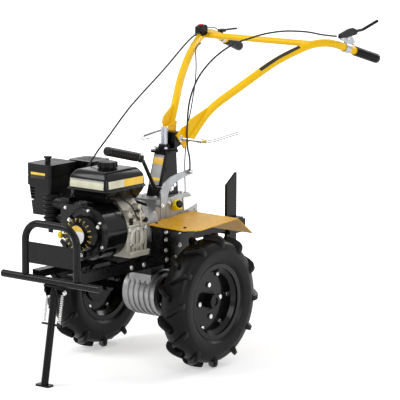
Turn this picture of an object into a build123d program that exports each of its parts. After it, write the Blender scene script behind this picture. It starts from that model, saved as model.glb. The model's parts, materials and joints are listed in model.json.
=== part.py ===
"""Walking tractor: a two-wheel, walk-behind tractor with a petrol engine.

Millimetres. +X is the machine's left, +Y its rear, where the operator walks, and +Z is up.
The pieces are drawn with y = 0 at the wheel axle and z = 0 on the ground, and written with the
origin on the ground under the middle of the overall length.
"""
import os
from math import cos, radians, sin, tan

from build123d import *

os.makedirs("parts", exist_ok=True)

# Overall layout
AXLE_Z = 248.0              # axle height, a 4.00-10 field tyre over its lugs
TRACK = 530.0               # distance between the tyres' middle planes
MIDDLE_Y = 176.0            # middle of the overall length, behind the axle
FIT = 0.1                   # clearance of pieces that are clamped or pressed together
RUN = 0.3                   # gap between faces that turn past each other

# Wheels
TYRE_R = 230.0              # carcass radius under the lugs
LUG_R = AXLE_Z              # radius over the lugs
TYRE_W = 106.0              # section width of the carcass
LUG_W = 112.0               # width over the lugs
LUG_COUNT = 12              # lugs on each side of the tread
LUG_THICK = 17.0
LUG_DEEP = 42.0             # a lug wraps this far down over the shoulder
LUG_CHAMFER = 8.0
LUG_OVERLAP = 6.0           # a lug's inner end crosses the tread's middle line
SIDEWALL_R = 182.0          # where the carcass is widest
SHOULDER_R = 217.0
TREAD_FLAT = 62.0
LUG_SWEEP = 38.0            # how far a lug's shoulder end trails its inner end
BEAD_R = 127.0              # seat of a ten-inch rim
FLANGE_R = 141.0
BEAD_W = 76.0               # between the rim flanges
RIM_WALL = 3.5
WELL_R = 112.0
DISC_THICK = 5.0
HUB_FLANGE_R = 76.0
HUB_FLANGE_THICK = 8.0
HUB_TUBE_R = 27.0
HUB_BORE_R = 36.0           # hole in the disc around the hub's boss
HUB_OUT = 34.0              # the boss stands this far outside the disc
HUB_IN = 62.0               # the hub's tube reaches this far inside the disc
AXLE_R = 15.0
RIM_BOLT_R = 104.0
RIM_BOLTS = 6
HUB_BOLT_R = 60.0
HUB_BOLTS = 4
BOLT_HEAD = 9.5             # half the width over a bolt head's corners
BOLT_HIGH = 7.0

# Final drive and gearbox castings
DRUM_R = 84.0
DRUM_W = 150.0
CASE_W = 104.0              # width of the upright case above the drum
CASE_FRONT = -74.0
CASE_REAR = 80.0
SEAL_R = 54.0               # black bearing covers on the drum's ends
SEAL_W = 26.0
CASE_PAD_X = 96.0           # half the width over the pads that carry the frame rails
UPPER_W = 132.0             # upper gearbox, wide in front
UPPER_REAR_W = 96.0         # and narrower behind the column
UPPER_FRONT = -62.0
UPPER_REAR = 218.0
UPPER_TOP = 606.0
UPPER_STEP = 156.0          # where the top slopes down behind the column
UPPER_REAR_TOP = 545.0
UPPER_BOTTOM = 450.0
UPPER_CORNER = 14.0
COVER_BOLTS = 6             # round the bell housing's flange
CASE_TOP = UPPER_BOTTOM

# Engine
CRANK_Z = 520.0
BELL_R = 94.0
PTO_Y = -148.0              # engine face that meets the bell housing
CRANKCASE_W = 188.0
CRANKCASE_FRONT = -262.0
CRANKCASE_TOP = 612.0
CYLINDER_LEAN = 25.0        # above level, towards the right
CYLINDER_Y = -209.5
CYLINDER_D = 104.0          # the fins, along the crankshaft
BASE_Z = 424.0              # underside of the engine's feet
FOOT_THICK = 12.0
FOOT_W = 216.0
SHROUD_R = 92.0
SHROUD_REAR_R = 100.0        # the drum's front edge is rounded in from here
SHROUD_LIP = 16.0
SHROUD_FRONT = -386.0
STARTER_R = 70.0
STARTER_SLOTS = 18
STARTER_DEEP = 12.0
LABEL_R = 38.0
STARTER_FRONT = -424.0
TANK_LEFT = 84.0
TANK_RIGHT = -100.0
TANK_FRONT = -362.0
TANK_REAR = -140.0
TANK_BOTTOM = 652.0
TANK_SEAM = 700.0
TANK_TOP = 742.0
CAP_X = 12.0                # the filler stands this far beside the tank's middle
CAP_Y = -10.0
CAP_R = 32.0
CAP_HIGH = 21.0
CAP_RIBS = 10

# Muffler in its guard, above the cylinder head
MUFFLER_X = -205.0
MUFFLER_Y = -120.0
MUFFLER_Z = 662.0
MUFFLER_W = 120.0
MUFFLER_D = 114.0
MUFFLER_HIGH = 78.0

# Front frame
RAIL_X = 100.0              # outer face of the angle rails
RAIL_LEG = 36.0
RAIL_WALL = 4.0
RAIL_TOP = 404.0
RAIL_REAR = 40.0
TUBE_R = 13.5
CROSS_Y = -566.0
CROSS_Z = 375.0
CROSS_HALF = 230.0
HOOP_X = 121.0
HOOP_TOP = 575.0
HOOP_BEND = 65.0

# Stand
PIVOT_Y = -545.0
PIVOT_Z = 334.0
PIVOT_BOLT_R = 6.0
FOOT_Y = -604.0
LEG_R = 13.5
SHOE_W = 62.0

# Clutch arm beside the gearbox, a flat bar bent in its own plane
ARM_OUTLINE = [(-63, 590), (-63, 636), (-54, 655), (-40, 670), (-2, 689), (35, 696), (109, 704), (112, 690),
               (109, 684), (43, 670), (6, 658), (-10, 645), (-19, 628), (-36, 582), (-50, 578)]

# Steering column and head
COLUMN_Y = 70.0             # vertical swing axis
COLUMN_TOP = 772.0
PLATE_THICK = 8.0
COLUMN_W = 60.0
COLUMN_FOOT_FRONT = -4.0
COLUMN_FOOT_REAR = 120.0
COLUMN_HEAD_FRONT = 44.0
COLUMN_HEAD_REAR = 108.0
FLANGE_W = 90.0             # plate on the column's top
FLANGE_D = 80.0
HEAD_W = 68.0
HEAD_TOP = 838.0
HEAD_REAR = 134.0
PIVOT_BOLT = 14.0           # radius of the bright bolt that the head turns on
PIVOT_BOLT_HIGH = 64.0
TILT_Y = 118.0              # the handlebar's cross bolt
TILT_Z = 812.0
TILT_BOLT_R = 7.0
LOCK_LEVER = 104.0
LOCK_LEVER_R = 4.0

# Handlebar
BAR_R = 15.0
GUSSET_THICK = 5.0
GRIP_R = 19.0
GRIP_LENGTH = 126.0
CROSSBAR_R = 12.0
BAR_POINTS = [(52, 154, 806), (82, 232, 914), (156, 362, 1008), (209, 486, 1087), (282, 668, 1155),
              (336, 962, 1060)]
CROSSBAR_X = 268.0
CROSSBAR_Y = 640.0
CROSSBAR_Z = 1137.5
LEVER_Y = 800.0             # clutch lever's bracket on the left tube
THROTTLE_Y = 812.0          # throttle's clamp on the right tube
BOX_X = -258.0              # stop switch on the right tube's bend
BOX_Y = 616.0
BOX_W = 34.0

# Fenders and the tool bar behind
FENDER_Z = 530.0
FENDER_THICK = 3.0
HITCH_SIDE = 36.0
HITCH_Z = 450.0
HITCH_END = 548.0
HITCH_PIN_R = 8.0
PIN_INSET = 16.0            # from the bar's end to the pin's axis
COULTER_Y = 446.0
COULTER_W = 60.0
COULTER_THICK = 12.0
CLAMP_WALL = 12.0           # block round the coulter bar at the end of the tool bar


def save(piece: BuildPart, name: str) -> None:
    """Label a finished piece and write it, with the origin under the middle of the length."""
    piece.part.label = name
    export_step(piece.part.moved(Location((0, -MIDDLE_Y, 0))), f"parts/{name}.step")


def side_plane(x: float) -> Plane:
    """A sketch plane at x, with its x along +Y, its y along +Z and its normal along +X."""
    return Plane.YZ.offset(x)


def front_plane(y: float) -> Plane:
    """A sketch plane at y, with its x along +X, its y along +Z and its normal along -Y."""
    return Plane.XZ.offset(-y)


def bend_radii(points: list, share: float = 0.45) -> list:
    """The largest arc at each corner of a route that its two runs leave room for."""
    radii = []
    for before, here, after in zip(points, points[1:], points[2:]):
        inward = Vector(here) - Vector(before)
        outward = Vector(after) - Vector(here)
        half_turn = radians(inward.get_angle(outward)) / 2
        radii.append(share * min(inward.length, outward.length) / tan(half_turn))
    return radii


def rod(points: list, radius: float, bends=None, bore: float = 0) -> Part:
    """A round bar or tube along a route of points, with arcs at its corners."""
    with BuildPart() as bar:
        with BuildLine() as route:
            if len(points) == 2:
                Line(points[0], points[1])
            else:
                FilletPolyline(*points, radius=bends or bend_radii(points))
        with BuildSketch(Plane(origin=route.line @ 0, z_dir=route.line % 0)):
            Circle(radius)
            if bore:
                Circle(bore, mode=Mode.SUBTRACT)
        sweep()
    return bar.part


def plate(outline: list, plane: Plane, thickness: float, both: bool = False) -> Part:
    """A flat plate from the corners of its outline on a plane."""
    with BuildPart() as sheet:
        with BuildSketch(plane):
            with BuildLine():
                Polyline(*outline, close=True)
            make_face()
        extrude(amount=thickness, both=both)
    return sheet.part


def round_bar(start: tuple, direction: tuple, length: float, radius: float, bore: float = 0) -> Part:
    """A straight round bar or tube from its start point along a direction."""
    with BuildPart() as bar:
        with BuildSketch(Plane(origin=start, z_dir=direction)):
            Circle(radius)
            if bore:
                Circle(bore, mode=Mode.SUBTRACT)
        extrude(amount=length)
    return bar.part


# Wheels, each with its tyre, rim, hub and axle stub
bead_half = BEAD_W / 2 - FIT
disc_face = DISC_THICK / 2
hub_face = disc_face + HUB_FLANGE_THICK

for side, word in ((1, "left"), (-1, "right")):
    centre = side * TRACK / 2
    outward = (side, 0, 0)
    wheel_axis = Axis((centre, 0, AXLE_Z), (1, 0, 0))
    section = Plane(origin=(centre, 0, AXLE_Z), x_dir=outward, z_dir=(0, -side, 0))

    with BuildPart() as tyre:
        with BuildSketch(section):
            with BuildLine():
                Polyline((0, BEAD_R + FIT), (bead_half, BEAD_R + FIT), (bead_half, FLANGE_R + FIT),
                         (TYRE_W / 2, SIDEWALL_R), (TYRE_W / 2 - 7, SHOULDER_R),
                         (TREAD_FLAT / 2, TYRE_R), (0, TYRE_R))
                mirror(about=Plane.YZ)
            make_face()
        revolve(axis=wheel_axis)
        for lug_side in (1, -1):
            reach = lug_side * LUG_W / 2
            inner = -lug_side * LUG_OVERLAP
            with BuildPart(mode=Mode.PRIVATE) as lug:
                with BuildSketch(Plane(origin=(centre, 0, AXLE_Z + LUG_R), x_dir=(1, 0, 0), z_dir=(0, 0, 1))):
                    with BuildLine():
                        Polyline((inner, (LUG_THICK - LUG_SWEEP) / 2), (inner, (-LUG_THICK - LUG_SWEEP) / 2),
                                 (reach, (LUG_SWEEP - LUG_THICK) / 2), (reach, (LUG_SWEEP + LUG_THICK) / 2),
                                 close=True)
                    make_face()
                extrude(amount=-LUG_DEEP)
                chamfer(lug.edges().group_by(Axis.Z)[-1].sort_by(Axis.X)[-1 if lug_side > 0 else 0],
                        LUG_CHAMFER, LUG_CHAMFER * 1.6)
            for index in range(LUG_COUNT):
                stagger = 0.5 if lug_side < 0 else 0
                add(lug.part.rotate(wheel_axis, 360 / LUG_COUNT * (index + stagger)))
    save(tyre, f"tyre_{word}")

    with BuildPart() as rim:
        with BuildSketch(section):
            with BuildLine():
                Polyline((disc_face, HUB_BORE_R), (disc_face, WELL_R - RIM_WALL),
                         (bead_half - 18, WELL_R - RIM_WALL), (bead_half - 6, BEAD_R - RIM_WALL),
                         (bead_half + RIM_WALL, BEAD_R - RIM_WALL), (bead_half + RIM_WALL, FLANGE_R),
                         (bead_half + FIT, FLANGE_R), (bead_half + FIT, BEAD_R), (bead_half - 8, BEAD_R),
                         (bead_half - 20, WELL_R), (0, WELL_R))
                Line((0, HUB_BORE_R), (disc_face, HUB_BORE_R))
                mirror(about=Plane.YZ)
            make_face()
        revolve(axis=wheel_axis)
        with BuildSketch(Plane(origin=(centre + side * disc_face, 0, AXLE_Z), x_dir=(0, 1, 0),
                               z_dir=outward)):
            with PolarLocations(RIM_BOLT_R, RIM_BOLTS, start_angle=5):
                RegularPolygon(BOLT_HEAD - 1, 6)
            with PolarLocations(HUB_BOLT_R, HUB_BOLTS, start_angle=5):
                RegularPolygon(BOLT_HEAD, 6)
        extrude(amount=BOLT_HIGH)
    save(rim, f"rim_{word}")

    with BuildPart() as hub:
        back = centre - side * (disc_face + FIT / 2)
        add(round_bar((back, 0, AXLE_Z), (-side, 0, 0), HUB_FLANGE_THICK, HUB_FLANGE_R, AXLE_R + FIT))
        add(round_bar((centre - side * HUB_IN, 0, AXLE_Z), outward, HUB_IN + HUB_OUT, HUB_TUBE_R,
                      AXLE_R + FIT))
        add(round_bar((back, 0, AXLE_Z), outward, disc_face, HUB_BORE_R - FIT, AXLE_R + FIT))
    save(hub, f"hub_{word}")

    with BuildPart() as axle_stub:
        inner_end = DRUM_W / 2 - 20
        add(round_bar((side * inner_end, 0, AXLE_Z), outward,
                      TRACK / 2 + HUB_OUT - 4 - inner_end, AXLE_R))
        with BuildSketch(Plane(origin=(centre - side * (HUB_IN - 16), 0, AXLE_Z + HUB_TUBE_R + FIT),
                               z_dir=(0, 0, 1))):
            RegularPolygon(BOLT_HEAD, 6)
        extrude(amount=BOLT_HIGH)
    save(axle_stub, f"axle_stub_{word}")

# Final drive drum and the upright case that stands on it
axle_bore = AXLE_R + 0.05
with BuildPart() as drive_case:
    add(round_bar((-DRUM_W / 2, 0, AXLE_Z), (1, 0, 0), DRUM_W, DRUM_R))
    with BuildSketch(side_plane(0)):
        with BuildLine():
            Polyline((CASE_FRONT, AXLE_Z + 20), (CASE_FRONT + 8, CASE_TOP - 60),
                     (UPPER_FRONT + 4, CASE_TOP), (CASE_REAR + 30, CASE_TOP), (CASE_REAR, CASE_TOP - 70),
                     (CASE_REAR, AXLE_Z + 10), close=True)
        make_face()
    extrude(amount=CASE_W / 2, both=True)
    for x in (-50, -25, 0, 25, 50):
        add(round_bar((x - 3, 0, AXLE_Z), (1, 0, 0), 6, DRUM_R + 5))
    with BuildSketch(Plane.XY.offset(RAIL_TOP - RAIL_LEG)):
        with Locations((0, -15)):
            Rectangle(2 * (RAIL_X - RAIL_WALL - FIT), 70)
    extrude(amount=RAIL_LEG - RAIL_WALL - FIT)
    for end in (-DRUM_W / 2, DRUM_W / 2 - 20):
        add(round_bar((end, 0, AXLE_Z), (1, 0, 0), 20, axle_bore), mode=Mode.SUBTRACT)
save(drive_case, "drive_case")

with BuildPart() as bearing_covers:
    for side in (1, -1):
        face = side * (DRUM_W / 2 + FIT)
        add(round_bar((face, 0, AXLE_Z), (side, 0, 0), 10, SEAL_R + 12, axle_bore))
        add(round_bar((face, 0, AXLE_Z), (side, 0, 0), SEAL_W, SEAL_R - 12, axle_bore))
save(bearing_covers, "bearing_covers")

# Upper gearbox with the bell housing in front
with BuildPart() as gearbox:
    with BuildSketch(Plane.XY.offset(UPPER_BOTTOM + FIT)):
        with BuildLine():
            Polyline((-UPPER_W / 2, UPPER_FRONT), (-UPPER_W / 2, 30), (-UPPER_REAR_W / 2, 80),
                     (-UPPER_REAR_W / 2, UPPER_REAR), (UPPER_REAR_W / 2, UPPER_REAR),
                     (UPPER_REAR_W / 2, 80), (UPPER_W / 2, 30), (UPPER_W / 2, UPPER_FRONT), close=True)
        make_face()
    extrude(amount=UPPER_TOP - UPPER_BOTTOM - FIT)
    fillet(gearbox.edges().filter_by(Axis.Z).filter_by(lambda edge: edge.center().Y > 0), UPPER_CORNER)
    with BuildSketch(side_plane(0)):
        with BuildLine():
            Polyline((UPPER_STEP, UPPER_TOP + 1), (UPPER_REAR + 1, UPPER_REAR_TOP),
                     (UPPER_REAR + 1, UPPER_TOP + 1), close=True)
        make_face()
    extrude(amount=UPPER_W, both=True, mode=Mode.SUBTRACT)
    with BuildSketch(front_plane(UPPER_FRONT)):
        with Locations((0, CRANK_Z)):
            Circle(BELL_R - 14)
    with BuildSketch(front_plane(PTO_Y)):
        with Locations((0, CRANK_Z)):
            Circle(BELL_R)
    loft()
    add(round_bar((0, PTO_Y, CRANK_Z), (0, 1, 0), 12, BELL_R + 4))
    with BuildSketch(front_plane(PTO_Y + 12)):
        with Locations((0, CRANK_Z)):
            with PolarLocations(BELL_R - 6, COVER_BOLTS, start_angle=20):
                RegularPolygon(BOLT_HEAD - 2, 6)
    extrude(amount=-BOLT_HIGH)
    add(plate([(UPPER_FRONT + 20, UPPER_TOP - 4), (UPPER_FRONT + 20, UPPER_TOP + 0.05),
               (COLUMN_FOOT_REAR + 26, UPPER_TOP + 0.05), (COLUMN_FOOT_REAR + 26, UPPER_TOP - 4)],
              side_plane(0), COLUMN_W / 2 + 12, both=True))
save(gearbox, "gearbox")

# Engine: crankcase with the cylinder leaning to the right
crankcase_half = CRANKCASE_W / 2
with BuildPart() as engine_block:
    with BuildSketch(front_plane(PTO_Y - FIT)):
        with BuildLine():
            Polyline((-crankcase_half, BASE_Z + FOOT_THICK), (crankcase_half, BASE_Z + FOOT_THICK),
                     (crankcase_half, CRANK_Z + 30), (crankcase_half - 40, CRANK_Z + 78),
                     (-60, CRANKCASE_TOP), (-crankcase_half, CRANK_Z + 60), close=True)
        make_face()
    extrude(amount=PTO_Y - CRANKCASE_FRONT)
    with BuildSketch(Plane.XY.offset(BASE_Z)):
        with Locations((0, (PTO_Y + CRANKCASE_FRONT) / 2)):
            Rectangle(FOOT_W, PTO_Y - CRANKCASE_FRONT - 4)
    extrude(amount=FOOT_THICK)
save(engine_block, "engine_block")

lean = Vector(-cos(radians(CYLINDER_LEAN)), 0, sin(radians(CYLINDER_LEAN)))
barrel_foot = Vector(0, CYLINDER_Y, CRANK_Z + 12)


def across_cylinder(reach: float) -> Plane:
    """A sketch plane square to the cylinder, at a distance from the crankshaft."""
    return Plane(origin=barrel_foot + lean * reach, x_dir=(0, 1, 0), z_dir=lean)


with BuildPart() as cylinder:
    with BuildSketch(across_cylinder(60)):
        RectangleRounded(CYLINDER_D - 20, 80, 10)
    extrude(amount=124)
    for index in range(8):
        with BuildSketch(across_cylinder(80 + index * 13)):
            RectangleRounded(CYLINDER_D, 98, 14)
        extrude(amount=5)
    with BuildSketch(across_cylinder(184)):
        RectangleRounded(CYLINDER_D - 14, 76, 16)
    extrude(amount=22, taper=8)
    split(bisect_by=Plane.YZ.offset(-crankcase_half - FIT), keep=Keep.BOTTOM)
save(cylinder, "cylinder")

with BuildPart() as fan_shroud:
    deep = CRANKCASE_FRONT - SHROUD_FRONT
    add(round_bar((0, CRANKCASE_FRONT - FIT, CRANK_Z), (0, -1, 0), deep - FIT - SHROUD_LIP,
                  SHROUD_REAR_R))
    with BuildSketch(front_plane(SHROUD_FRONT + SHROUD_LIP)):
        with Locations((0, CRANK_Z)):
            Circle(SHROUD_REAR_R)
    with BuildSketch(front_plane(SHROUD_FRONT)):
        with Locations((0, CRANK_Z)):
            Circle(SHROUD_R)
    loft()
    with BuildSketch(front_plane(CRANKCASE_FRONT - FIT)):
        with BuildLine():
            Polyline((-118, CRANK_Z - 20), (-60, CRANK_Z - 60), (60, CRANK_Z - 30), (70, CRANK_Z + 60),
                     (30, CRANK_Z + 98), (-118, CRANK_Z + 98), close=True)
        make_face()
    extrude(amount=deep - 8)
save(fan_shroud, "fan_shroud")

with BuildPart() as starter:
    with BuildSketch(front_plane(SHROUD_FRONT - FIT)):
        with Locations((0, CRANK_Z)):
            Circle(STARTER_R)
    with BuildSketch(front_plane(STARTER_FRONT)):
        with Locations((0, CRANK_Z)):
            Circle(STARTER_R - 14)
    loft()
    with BuildSketch(front_plane(STARTER_FRONT)):
        with Locations((0, CRANK_Z)):
            with PolarLocations((STARTER_R + LABEL_R) / 2, STARTER_SLOTS):
                SlotCenterToCenter(STARTER_R - LABEL_R - 20, 6)
    extrude(amount=-STARTER_DEEP, mode=Mode.SUBTRACT)
    add(round_bar((0, STARTER_FRONT, CRANK_Z), (0, -1, 0), 2, LABEL_R))
    for turn in (25, 145, 265):
        arm = Plane(origin=(0, SHROUD_FRONT - FIT, CRANK_Z), x_dir=(cos(radians(turn)), 0, sin(radians(turn))),
                    z_dir=(0, -1, 0))
        with BuildSketch(arm):
            with Locations((STARTER_R + 4, 0)):
                RectangleRounded(28, 22, 6)
        extrude(amount=8)
save(starter, "recoil_starter")

tank_x = (TANK_LEFT + TANK_RIGHT) / 2
tank_y = (TANK_FRONT + TANK_REAR) / 2
tank_w = TANK_LEFT - TANK_RIGHT
tank_d = TANK_REAR - TANK_FRONT
with BuildPart() as fuel_tank:
    for level, wide in ((TANK_BOTTOM, -16), (TANK_SEAM, 0)):
        with BuildSketch(Plane.XY.offset(level)):
            with Locations((tank_x, tank_y)):
                RectangleRounded(tank_w + wide, tank_d + wide, 20)
    loft()
    for level, wide in ((TANK_SEAM, 0), (TANK_TOP, -34)):
        with BuildSketch(Plane.XY.offset(level)):
            with Locations((tank_x, tank_y)):
                RectangleRounded(tank_w + wide, tank_d + wide, 20)
    loft()
    with BuildSketch(Plane.XY.offset(TANK_SEAM - 3)):
        with Locations((tank_x, tank_y)):
            RectangleRounded(tank_w + 12, tank_d + 12, 24)
    extrude(amount=6)
    with BuildSketch(Plane.XY.offset(CRANKCASE_TOP + FIT)):
        with Locations((-44, (PTO_Y + CRANKCASE_FRONT) / 2)):
            Rectangle(60, PTO_Y - CRANKCASE_FRONT - 20)
    extrude(amount=TANK_BOTTOM - CRANKCASE_TOP)
    with BuildSketch(Plane.XY.offset(TANK_TOP)):
        with Locations((tank_x + CAP_X, tank_y + CAP_Y)):
            Circle(CAP_R - 4)
    extrude(amount=5)
save(fuel_tank, "fuel_tank")

with BuildPart() as fuel_cap:
    with BuildSketch(Plane.XY.offset(TANK_TOP + 5 + FIT)):
        with Locations((tank_x + CAP_X, tank_y + CAP_Y)):
            Circle(CAP_R)
            with PolarLocations(CAP_R + 1, CAP_RIBS):
                Circle(4)
    extrude(amount=CAP_HIGH)
save(fuel_cap, "fuel_cap")

FILTER_X = -270.0
FILTER_Y = -255.0
FILTER_FLOOR = 658.0
CARB_Y = -298.0
with BuildPart() as air_filter:
    with BuildSketch(Plane.XY.offset(FILTER_FLOOR)):
        with Locations((FILTER_X, FILTER_Y)):
            RectangleRounded(120, 150, 14)
    extrude(amount=80)
    with BuildSketch(Plane.XY.offset(549)):
        with Locations((FILTER_X + 4, FILTER_Y - 12)):
            RectangleRounded(90, 110, 12)
    with BuildSketch(Plane.XY.offset(FILTER_FLOOR)):
        with Locations((FILTER_X, FILTER_Y)):
            RectangleRounded(112, 140, 12)
    loft()
    with BuildSketch(Plane.XY.offset(FILTER_FLOOR + 80)):
        with Locations((FILTER_X + 7, FILTER_Y - 30)):
            Circle(10)
    extrude(amount=26)
    add(round_bar((-230, CARB_Y, 600), (1, 0, 0), 26, 28))
    with BuildSketch(Plane.XY.offset(FILTER_FLOOR + 34)):
        with Locations((FILTER_X, FILTER_Y)):
            RectangleRounded(140, 170, 14)
            RectangleRounded(115, 145, 12, mode=Mode.SUBTRACT)
    extrude(amount=3, mode=Mode.SUBTRACT)
    with BuildSketch(front_plane(FILTER_Y - 75)):
        with Locations((FILTER_X - 36, FILTER_FLOOR - 34)):
            with GridLocations(0, 11, 1, 5):
                RectangleRounded(26, 6, 2)
    extrude(amount=-30, mode=Mode.SUBTRACT)
save(air_filter, "air_filter")

with BuildPart() as carburettor:
    add(round_bar((-204 + FIT, CARB_Y, 600), (1, 0, 0), 60, 28))
    with BuildSketch(side_plane(-160)):
        with Locations((CARB_Y - 2, 594)):
            RectangleRounded(60, 70, 8)
    extrude(amount=38)
    add(round_bar((-141, -275, 598), (0, 1, 0), CYLINDER_Y - CYLINDER_D / 2 - RUN + 275, 18))
save(carburettor, "carburettor")

with BuildPart() as muffler:
    with BuildSketch(Plane.XY.offset(MUFFLER_Z)):
        with Locations((MUFFLER_X, MUFFLER_Y)):
            RectangleRounded(MUFFLER_W, MUFFLER_D, 20)
    extrude(amount=MUFFLER_HIGH)
    add(rod([(-165, -100, MUFFLER_Z + 4), (-165, -100, 606), (-165, CYLINDER_Y + CYLINDER_D / 2 + FIT, 606)],
            13, [22]))
    with BuildSketch(Plane.XY.offset(MUFFLER_Z + MUFFLER_HIGH)):
        with Locations((MUFFLER_X, MUFFLER_Y)):
            with GridLocations(0, 18, 1, 4):
                RectangleRounded(MUFFLER_W - 46, 7, 3)
    extrude(amount=-5, mode=Mode.SUBTRACT)
save(muffler, "muffler")

# Front frame: two angle rails, and the cross channels that the engine is bolted to
rail_front = CROSS_Y + TUBE_R + FIT
with BuildPart() as frame_rails:
    with BuildSketch(front_plane(rail_front)):
        with BuildLine():
            Polyline((RAIL_X, RAIL_TOP), (RAIL_X, RAIL_TOP - RAIL_LEG), (RAIL_X - RAIL_WALL, RAIL_TOP - RAIL_LEG),
                     (RAIL_X - RAIL_WALL, RAIL_TOP - RAIL_WALL), (RAIL_X - RAIL_LEG, RAIL_TOP - RAIL_WALL),
                     (RAIL_X - RAIL_LEG, RAIL_TOP), close=True)
        make_face()
    extrude(amount=rail_front - RAIL_REAR)
    mirror(about=Plane.YZ)
save(frame_rails, "frame_rails")

with BuildPart() as engine_mounts:
    for y in (CRANKCASE_FRONT + 22, PTO_Y - 22):
        with BuildSketch(Plane.XY.offset(RAIL_TOP + FIT)):
            with Locations((0, y)):
                Rectangle(2 * RAIL_X, 34)
        extrude(amount=BASE_Z - RAIL_TOP - 2 * FIT)
save(engine_mounts, "engine_mounts")

hoop_foot = CROSS_Z + TUBE_R + FIT
with BuildPart() as bumper:
    add(rod([(-HOOP_X, CROSS_Y, hoop_foot), (-HOOP_X, CROSS_Y, HOOP_TOP), (HOOP_X, CROSS_Y, HOOP_TOP),
             (HOOP_X, CROSS_Y, hoop_foot)], TUBE_R, [HOOP_BEND, HOOP_BEND]))
save(bumper, "bumper_hoop")

plate_half = HOOP_X - TUBE_R - FIT
with BuildPart() as bumper_plate:
    add(plate([(-plate_half, CROSS_Z + 54), (plate_half, CROSS_Z + 54),
               (plate_half, CROSS_Z + 131), (-plate_half, CROSS_Z + 131)],
              front_plane(CROSS_Y), 2, both=True))
save(bumper_plate, "bumper_plate")

with BuildPart() as cross_tube:
    add(round_bar((-CROSS_HALF, CROSS_Y, CROSS_Z), (1, 0, 0), 2 * CROSS_HALF, TUBE_R, TUBE_R - 2.5))
save(cross_tube, "cross_tube")

# Stand bracket under the cross tube, and the folding stand
BRACKET_X = 24.0
BRACKET_WALL = 4.0
bracket_top = CROSS_Z - TUBE_R - FIT
bracket_out = BRACKET_X + BRACKET_WALL
with BuildPart() as stand_bracket:
    for side in (1, -1):
        add(plate([(CROSS_Y - 10, bracket_top), (PIVOT_Y + 40, bracket_top), (PIVOT_Y + 18, PIVOT_Z - 16),
                   (PIVOT_Y - 16, PIVOT_Z - 16)],
                  side_plane(side * BRACKET_X), side * BRACKET_WALL))
    with BuildSketch(Plane.XY.offset(bracket_top)):
        with Locations((0, (CROSS_Y - 10 + PIVOT_Y + 40) / 2)):
            Rectangle(2 * bracket_out, PIVOT_Y - CROSS_Y + 50)
    extrude(amount=-5)
    add(round_bar((-bracket_out, PIVOT_Y, PIVOT_Z), (1, 0, 0), 2 * bracket_out, PIVOT_BOLT_R + 0.05),
        mode=Mode.SUBTRACT)
save(stand_bracket, "stand_bracket")

leg_lean = Vector(0, FOOT_Y - PIVOT_Y, -PIVOT_Z).normalized()
foot = Vector(0, FOOT_Y, 0)
pivot = Vector(0, PIVOT_Y, PIVOT_Z)
spring_lug = pivot + leg_lean * 118
spring_x = bracket_out + 8
with BuildPart() as stand_leg:
    top = pivot - leg_lean * 12
    add(round_bar(tuple(top), tuple(leg_lean), (foot - top).length - 6, LEG_R))
    add(round_bar(tuple(top), tuple(leg_lean), 74, LEG_R + 4))
    with BuildSketch(Plane.XY):
        with Locations((0, FOOT_Y)):
            RectangleRounded(SHOE_W, 34, 6)
    extrude(amount=7)
    add(round_bar((-spring_x - 8, PIVOT_Y, PIVOT_Z), (1, 0, 0), 2 * spring_x + 16, PIVOT_BOLT_R))
    add(round_bar((-spring_x - 8, spring_lug.Y, spring_lug.Z), (1, 0, 0), 2 * spring_x + 16, 4))
save(stand_leg, "stand_leg")

with BuildPart() as stand_springs:
    for side in (1, -1):
        high = Vector(side * spring_x, PIVOT_Y, PIVOT_Z) + leg_lean * (PIVOT_BOLT_R + FIT)
        add(round_bar(tuple(high), tuple(leg_lean), 118 - PIVOT_BOLT_R - 4 - 2 * FIT, 4.5))
save(stand_springs, "stand_springs")

# Steering column, a folded box that narrows upwards
with BuildPart() as column:
    for level, front, rear in ((UPPER_TOP + FIT, COLUMN_FOOT_FRONT, COLUMN_FOOT_REAR),
                               (COLUMN_TOP - PLATE_THICK, COLUMN_HEAD_FRONT, COLUMN_HEAD_REAR)):
        with BuildSketch(Plane.XY.offset(level)):
            with Locations((0, (front + rear) / 2)):
                RectangleRounded(COLUMN_W, rear - front, 7)
    loft()
    with BuildSketch(Plane.XY.offset(COLUMN_TOP - PLATE_THICK)):
        with Locations((0, COLUMN_Y)):
            RectangleRounded(FLANGE_W, FLANGE_D, 20)
    extrude(amount=PLATE_THICK)
save(column, "steering_column")

# Turning head: a plate on the column's flange with a block behind the pivot bolt
head_floor = COLUMN_TOP + RUN + PLATE_THICK
with BuildPart() as head:
    with BuildSketch(Plane.XY.offset(COLUMN_TOP + RUN)):
        with Locations((0, COLUMN_Y)):
            Circle(HEAD_W / 2)
        with Locations((0, COLUMN_Y + HEAD_W / 4)):
            Rectangle(HEAD_W, HEAD_W / 2)
    extrude(amount=PLATE_THICK)
    with BuildSketch(side_plane(0)):
        with BuildLine():
            Polyline((COLUMN_Y + PIVOT_BOLT + 5, head_floor), (COLUMN_Y + HEAD_W / 2, head_floor),
                     (HEAD_REAR, head_floor + 10), (HEAD_REAR, HEAD_TOP - 6), (HEAD_REAR - 8, HEAD_TOP),
                     (COLUMN_Y + PIVOT_BOLT + 5, HEAD_TOP), close=True)
        make_face()
    extrude(amount=HEAD_W / 2, both=True)
    add(round_bar((0, COLUMN_Y, head_floor), (0, 0, 1), 14, PIVOT_BOLT + 6))
    add(round_bar((-HEAD_W / 2, TILT_Y, TILT_Z), (1, 0, 0), HEAD_W, TILT_BOLT_R + 0.05), mode=Mode.SUBTRACT)
    add(round_bar((0, COLUMN_Y, head_floor + 14), (0, 0, 1), HEAD_TOP, PIVOT_BOLT + FIT), mode=Mode.SUBTRACT)
save(head, "steering_head")

with BuildPart() as lock_bolt:
    add(round_bar((0, COLUMN_Y, head_floor + 14 + FIT), (0, 0, 1), PIVOT_BOLT_HIGH, PIVOT_BOLT))
save(lock_bolt, "lock_bolt")

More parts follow.
